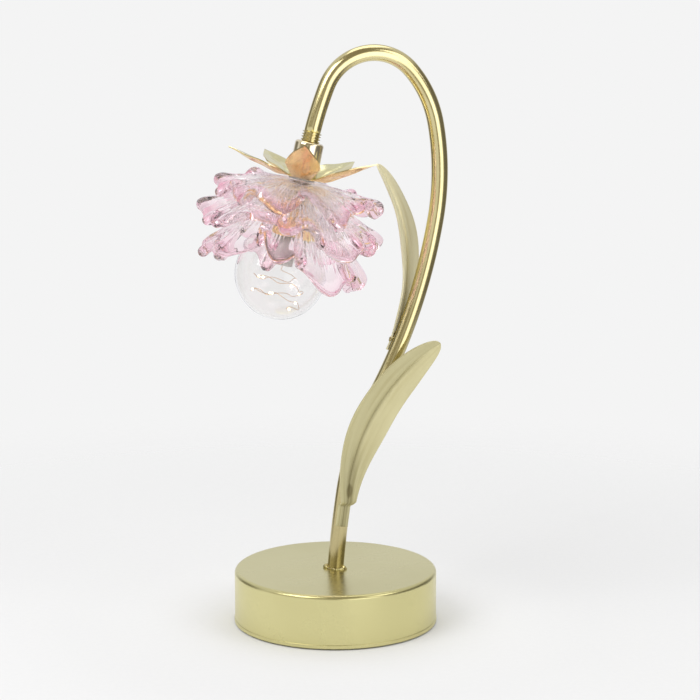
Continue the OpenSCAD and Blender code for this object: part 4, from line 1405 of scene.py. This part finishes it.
@dataclass
class Sepals:
    """The stamped star of five sepals over the glass."""

    level: float = 21.5
    sheet: float = 0.8
    hub: float = 9.0
    bore: float = 5.2
    reach: float = 49.0
    half_w: float = 11.5
    wide: float = 23.0
    sepals: tuple[tuple[float, float], ...] = ((288, 32), (216, 27), (144, 20), (72, 13), (0, 13))
    edge_r: float = 0.2
    rib_h: float = 0.55
    rib_w: float = 3.5
    curl: float = 1.6
    ripple: float = 0.35
    lanes: int = 48
    rings: int = 22

    def build(self) -> None:
        """Shape the star from a ring and finish it."""
        section = 2 * self.rings + 2
        star, order = looped("sepals", 5 * self.lanes, section, self.points())
        # Mark the under side, which takes the painted reflection of the glass
        paint(star, "under", np.where(order % section <= self.rings, 1.0, 0.0))
        star.data.transform(FLOWER)
        tidy_faces(star)
        apply_modifier(star, "BEVEL", width=self.edge_r * MM, segments=2, limit_method="ANGLE",
                       angle_limit=math.radians(60))
        smooth(star, 55.0)
        mounted(star, Slot.POLISHED, SEPAL_GOLD.material(), "sepal_plate")

    def edge(self, a: np.ndarray) -> np.ndarray:
        """Reach of the star.

        Args:
            a: directions from the nearest sepal's middle, in degrees.

        Returns:
            The reaches, in mm.
        """
        b = np.radians(np.abs(a))
        wide = math.atan(self.half_w / self.wide)
        tip = self.reach * self.half_w / (self.half_w * np.cos(b) + (self.reach - self.wide) * np.sin(b))
        tip = tip * (1 + 0.1 * np.sin(np.pi * np.clip(b / wide, 0, 1)))
        side = math.hypot(self.wide, self.half_w)
        k = np.clip((b - wide) / (math.radians(36) - wide), 0, 1)
        web = side * self.hub / (self.hub + (side - self.hub) * np.power(k, 0.6))
        return np.where(b <= wide, tip, web)

    def points(self) -> np.ndarray:
        """Every point of the star, lane by lane, from the edge in to the bore and back out.

        Returns:
            Rows of x, y and z, in mm.
        """
        inwards = np.linspace(1, 0, self.rings)
        rows = []
        for direction, rise in self.sepals:
            for i in range(self.lanes):
                a = 36 - 72 * i / self.lanes
                turn = math.radians(direction + a)
                bore = np.array([[self.bore * math.cos(turn), self.bore * math.sin(turn), self.sheet]])
                rows.append(np.concatenate([
                    self.lane(inwards, a, direction, rise, self.sheet), bore,
                    bore - [0, 0, self.sheet], self.lane(inwards[::-1], a, direction, rise, 0.0),
                ]))
        rows.reverse()
        points = np.concatenate(rows)
        points[:, 2] += self.level
        return points

    def lane(
        self, u: np.ndarray, a: float, direction: float, rise: float, down: float,
    ) -> np.ndarray:
        """Points of one lane of a sepal.

        Args:
            u: shares of the way from the hub to the edge.
            a: the lane's direction from the sepal's middle, in degrees.
            direction: the sepal's direction about the flower's axis, in degrees.
            rise: the sepal's rise at its tip, in degrees.
            down: depth below the sheet's upper face, in mm.

        Returns:
            Rows of x, y and z, in mm.
        """
        s = u * np.maximum(0.6, self.edge(np.array([a])) - self.hub)
        lift = np.radians(rise * eased(0.35 + s / self.reach))
        r = self.hub + s * np.cos(lift)
        k = eased(s / 12)
        curl = self.curl * k * (abs(a) / 27) ** 2
        z = -s * np.sin(lift) - curl + self.ripple * k * np.sin(0.3 * s + 0.13 * a)
        # The pressed rib runs out at the hub and before the tip
        ends = np.clip(s / 6, 0, 1) * np.clip((self.reach - self.hub - s) / 12, 0, 1)
        rib = self.rib_h * math.exp(-((a / self.rib_w) ** 2)) * ends
        turn = math.radians(direction + a)
        return np.stack([r * math.cos(turn), r * math.sin(turn), z + rib + down], 1)


@dataclass
class PetalTier:
    """One pressed ring of glass petals: lobes, folds and a thick curled rim.

    Each lobe has its direction in degrees, its reach and its drop in mm. The gap is where the rim
    draws back: its direction in degrees, its depth in mm and its width in degrees.
    """

    name: str
    node: str
    level: float
    lobes: tuple[tuple[float, float, float], ...]
    notch: float
    half: float
    cup: float
    ruffle: float
    bend: float
    glass: PressedGlass
    gap: tuple[float, float, float] = (0.0, 0.0, 10.0)
    hub: float = 9.0
    bore: float = 5.2
    hub_t: float = 4.0
    mid_t: float = 3.0
    rim_t: float = 6.0
    folds: int = 9
    fold_h: float = 3.6
    fingers: int = 13
    finger_h: float = 1.8
    finger_reach: float = 2.6
    ribs: int = 96
    rib_h: float = 0.09
    hub_flat: float = 0.12
    rim_in: float = 3.8
    rim_at: float = 0.97
    rim_w: float = 0.13
    rim_wander: float = 0.22
    nudge: float = 0.01
    columns: int = 1200
    skin: int = 24
    round_steps: int = 20

    def build(self) -> None:
        """Shape the ring and give it its glass."""
        points, rim = self.points()
        tier, order = looped(self.name, self.columns, 2 * self.skin + self.round_steps + 1, points)
        paint(tier, "rim", rim[order])
        tidy_faces(tier)
        tier.data.transform(FLOWER)
        smooth(tier, 180.0)
        mounted(tier, Slot.PINK, self.glass.material(), self.node)

    def apart(self, a: np.ndarray) -> np.ndarray:
        """Angles from each lobe's middle to each direction.

        Args:
            a: directions about the flower's axis, in degrees.

        Returns:
            One row of angles for each lobe, from -180 to 180 degrees.
        """
        middles = np.array([lobe[0] for lobe in self.lobes])[:, None]
        gap = a[None, :] - middles
        return gap - 360 * np.round(gap / 360)

    def outline(self, a: np.ndarray) -> Outline:
        """The rim's outline.

        Args:
            a: directions about the flower's axis, in degrees.

        Returns:
            The rim's reach and drop in mm, and how far each direction is from a lobe's middle, as
            a share of half a lobe.
        """
        gap = self.apart(a)
        reach = np.array([lobe[1] for lobe in self.lobes])[:, None]
        drop = np.array([lobe[2] for lobe in self.lobes])[:, None]
        share = np.maximum(0, np.cos(np.radians(np.minimum(90, 90 * np.abs(gap) / self.half))))
        out = self.notch + np.max((reach - self.notch) * np.power(share, 0.45), 0)
        middle, depth, width = self.gap
        away = (a - middle + 180) % 360 - 180
        gap_share = np.exp(-np.square(away / width))
        out = out - depth * gap_share
        weight = np.exp(-np.square(gap / 26))
        down = np.sum(weight * drop, 0) / np.sum(weight, 0) * (1 - 0.4 * gap_share * (depth > 0))
        return out, down, np.min(np.abs(gap), 0) / self.half

    def fingers_at(self, t: np.ndarray) -> np.ndarray:
        """The small fingers of the rim in each direction, in radians, from -1 to 1."""
        wave = np.sin(self.fingers * t + 2.2 * np.sin(3 * t + 1) + 1.2 * np.sin(5 * t))
        return np.cbrt(wave) * np.abs(wave) ** 0.4 * (0.8 + 0.2 * np.sin(4 * t + 2))

    def middle(self, u: np.ndarray, a: np.ndarray, edge: Outline) -> np.ndarray:
        """Points of the middle of the glass.

        Args:
            u: shares of the way from the hub to the rim.
            a: directions about the flower's axis, in degrees.
            edge: reach, drop and lobe offset in each direction.

        Returns:
            An array of rows by directions by x, y and z, in mm.
        """
        out, down, offset = edge
        u, a = u[:, None], a[None, :]
        t = np.radians(a)
        sweep = np.sin(self.folds * t + 1.5 * np.sin(2 * t + 0.4))
        finger = self.fingers_at(t)
        rim = out - self.rim_in + self.finger_reach * (0.5 + 0.5 * finger)
        r = self.hub + (rim - self.hub) * u
        d = (down * u ** self.bend + self.cup * offset ** 2 * u * u
             + self.ruffle * u * u * np.sin(7 * t + np.radians(200 * u)))
        d = d + self.fold_h * u ** 2 * sweep + self.finger_h * u ** 3 * finger
        return np.stack([r * np.cos(t), r * np.sin(t), d], 2)

    def thickness(self, u: np.ndarray, t: np.ndarray) -> tuple[np.ndarray, np.ndarray]:
        """Thickness of the glass, and the fine ribs that the mould leaves on one side.

        Args:
            u: shares of the way from the hub to the rim.
            t: directions about the flower's axis, in radians, as one row.

        Returns:
            Half the thickness and the ribs' height, in mm, as rows by directions.
        """
        thick = self.hub_t + (self.mid_t - self.hub_t) * np.clip(u / 0.4, 0, 1)
        swell = np.exp(-np.square((u - self.rim_at) / self.rim_w))
        rim = (self.rim_t - self.mid_t) * swell[:, None]
        thick = thick[:, None] + rim * (1 + self.rim_wander * self.fingers_at(t))
        ribs = self.rib_h * np.sin(self.ribs * t + 3 * np.sin(2 * t) + 2.5 * u[:, None])
        ends = np.clip(u / 0.06, 0, 1) * np.clip((0.98 - u) / 0.3, 0, 1)
        return thick / 2, ribs * ends[:, None]

    def points(self) -> tuple[np.ndarray, np.ndarray]:
        """Every point of the ring, direction by direction.

        Returns:
            Rows of x, y and z in mm, and how far each point is in the rim, from 0 to 1.
        """
        a = 360 * np.arange(self.columns) / self.columns
        t = np.radians(a)[None, :]
        edge = self.outline(a)
        u = 1 - np.linspace(0, 1, self.skin) ** 1.25
        mid = self.middle(u, a, edge)
        along = self.middle(u + self.nudge, a, edge) - mid
        beside = self.middle(u, a + 20 * self.nudge, self.outline(a + 20 * self.nudge)) - mid
        flat = np.clip(u / self.hub_flat, 0, 1)[:, None, None]
        normal = unit(unit(np.cross(along, beside)) * flat + np.array([0, 0, 1.0]) * (1 - flat))
        half, ribs = self.thickness(u, t)
        lift = np.array([0, 0, self.hub_t / 2])
        under = mid + lift + normal * half[..., None]
        over = mid + lift - normal * (half + ribs)[..., None]
        # The rim is a half round between the two faces
        out = unit(along[0])
        bow = []
        for i in range(1, self.round_steps):
            phi = math.pi * (i / self.round_steps - 0.5)
            away = math.cos(phi) * out + math.sin(phi) * normal[0]
            bow.append(mid[0] + lift + half[0][:, None] * away)
        bore = np.stack([self.bore * np.cos(t[0]), self.bore * np.sin(t[0]), 0 * t[0]], 1)
        walls = [(bore + [0, 0, self.hub_t])[None], bore[None]]
        ring = np.concatenate([over[::-1], np.array(bow), under] + walls)
        depth = np.concatenate([u[::-1], np.full(len(bow), 1.0), u, [0.0, 0.0]])
        rim = np.clip((depth - 0.7) / 0.3, 0, 1) ** 1.5
        shade = rim[:, None] * (0.8 + 0.2 * np.sin(5 * t + 1))
        order = np.transpose(ring, (1, 0, 2)).reshape(-1, 3)
        order[:, 2] += self.level
        return order, shade.T.ravel()


@dataclass
class GlassFlower:
    """The three glass tiers and the clear spacers between them."""

    def build(self) -> None:
        """Make the tiers from top to bottom."""
        PetalTier("petals_top", "petals_upper", 23.0, (
            (15, 50, 11), (75, 48, 7), (135, 48, 6), (195, 51, 5), (250, 44, 11), (312, 46, 12),
        ), notch=34, half=33, cup=2.5, ruffle=1.2, bend=1.5, glass=PINK_UPPER,
            gap=(281.0, 15.0, 9.0)).build()
        PetalTier("petals_mid", "petals_middle", 30.0, (
            (20, 57, 21), (72, 54, 17), (124, 54, 16), (176, 56, 18), (228, 57, 21), (280, 47, 20),
            (332, 55, 21),
        ), notch=38, half=29, cup=3.5, ruffle=1.2, bend=1.4, glass=PINK_MIDDLE,
            gap=(302.0, 13.0, 14.0)).build()
        PetalTier("petals_low", "petals_lower", 38.0, (
            (0, 51, 34), (60, 49, 32), (120, 48, 32), (180, 51, 35), (232, 50, 34), (300, 46, 26),
        ), notch=32, half=33, cup=5, ruffle=1.5, bend=1.45, glass=PINK_LOWER,
            gap=(320.0, 15.0, 21.0)).build()
        dress(SPACER.material(), "upper_spacer", "middle_spacer", "lower_spacer")
        dress(SOFT.material(), "soft_washer")


@dataclass
class Globe:
    """The clear globe under its gold cap, with the light string inside."""

    radius: float = 27.5
    wall: float = 1.2
    centre: float = 81.117
    neck_r: float = 12.0
    neck_top: float = 53.5
    lip_start: float = 0.4
    lip_mid: float = 0.6
    arc_steps: int = 56
    string_r: float = 15.0
    turns: float = 2.6
    drop: float = 22.0
    start: float = 66.85
    sleeve_end: float = 75.4
    clear: float = 0.05
    lights: int = 9
    first_light: float = 0.46
    last_light: float = 0.99
    wire_r: float = 0.16
    wire_steps: int = 260
    kink: float = 0.9
    bead_r: float = 0.75

    def build(self) -> None:
        """Blow the globe and hang its lights."""
        mounted(self.glass(), Slot.CLEAR, CLEAR.material(), "glass_globe")
        mounted(self.string(), Slot.WIRE, WIRE.material(), "light_string")
        mounted(self.drops(), Slot.RESIN, LIGHT.material(), "light_drops")
        dress(BRIGHT_GOLD.material(), "globe_cap", "cap_nut")
        dress(SOFT.material(), "globe_gasket")
        dress(SLEEVE.material(), "light_sleeve")

    def glass(self) -> bpy.types.Object:
        """Turn the globe's wall, from the neck's outside down and back up inside.

        Returns:
            The globe.
        """
        inner = self.radius - self.wall
        inner_neck = self.neck_r - self.wall
        at = math.degrees(math.acos(self.neck_r / self.radius))
        back = math.degrees(math.acos(inner_neck / inner))
        neck = self.neck_top + self.lip_start
        centre = (0, self.centre)
        outside = [(self.neck_r, neck)] + arc(centre, self.radius, -at, 90, self.arc_steps)
        inside = arc(centre, inner, 90, -back, self.arc_steps) + [(inner_neck, neck)]
        middle = (self.neck_r - self.wall / 2, self.neck_top + self.lip_mid)
        lip = arc(middle, self.wall / 2, 180, 360, 6)[1:-1]
        return turned("globe", outside + inside + lip, 2 * self.arc_steps, FLOWER, 60.0)

    def string_point(self, t: float) -> Vector:
        """A point of the light string.

        Args:
            t: share of the way along it. The first fifth runs straight down the sleeve.

        Returns:
            The point, in mm in the flower's frame.
        """
        k = max(0.0, (t - 0.2) / 0.8)
        a = math.radians(360 * self.turns * k + 40)
        r = self.string_r * float(eased(k / 0.3))
        straight = self.sleeve_end - Holder.pipe_end - self.clear
        w = self.start + straight * min(1.0, t / 0.2) + self.drop * k
        return Vector((r * math.cos(a), r * math.sin(a), w))

    def string(self) -> bpy.types.Object:
        """Bend the thin wire along its loops, with its small kinks.

        Returns:
            The wire.
        """
        line = bpy.data.curves.new("light_wire", "CURVE")
        line.dimensions = "3D"
        line.bevel_depth = self.wire_r * MM
        line.bevel_resolution = 2
        line.use_fill_caps = True
        spline = line.splines.new("POLY")
        spline.points.add(self.wire_steps - 1)
        for i in range(self.wire_steps):
            t = i / (self.wire_steps - 1)
            kink = self.kink * min(1.0, max(0.0, (t - 0.3) / 0.1))
            p = self.string_point(t) + kink * Vector((
                math.sin(123 * t), math.sin(159 * t + 1), 1.2 * math.sin(111 * t + 2)))
            spline.points[i].co = (*(FLOWER @ (p * MM)), 1.0)
        wire = bpy.data.objects.new("light_wire", line)
        bpy.context.scene.collection.objects.link(wire)
        select(wire)
        bpy.ops.object.convert(target="MESH")
        smooth(wire, 80.0)
        return wire

    def drops(self) -> bpy.types.Object:
        """Set a drop of clear resin over each lamp chip on the wire.

        Returns:
            The drops, as one piece.
        """
        made = []
        span = self.last_light - self.first_light
        for i in range(self.lights):
            p = self.string_point(self.first_light + span * i / (self.lights - 1))
            inward = Vector((p.x, p.y, 0)).normalized()
            spot = FLOWER @ ((p - inward * self.bead_r * 0.8) * MM)
            clear_selection()
            bpy.ops.mesh.primitive_ico_sphere_add(subdivisions=3, radius=self.bead_r * MM)
            drop = named(f"drop_{i}")
            points = mesh_points(drop)
            # Each drop sags a little, and no two are alike
            points[:, 2] *= 1.0 + 0.25 * (points[:, 2] < 0)
            points *= 1.0 + 0.06 * np.sin(points[:, :1] / MM * 2.1 + i)
            move_points(drop, points)
            drop.data.transform(Matrix.Translation(spot))
            made.append(drop)
        select(*made)
        bpy.ops.object.join()
        drops = named("light_beads")
        smooth(drops, 80.0)
        return drops


def main() -> None:
    """Build the studio and the lamp."""
    logging.basicConfig(level=logging.INFO, format="%(message)s")
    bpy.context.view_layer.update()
    Studio().build()
    for part in (Base(), Stem(), Leaves(), Holder(), Sepals(), GlassFlower(), Globe()):
        part.build()


if __name__ == "__main__":
    main()
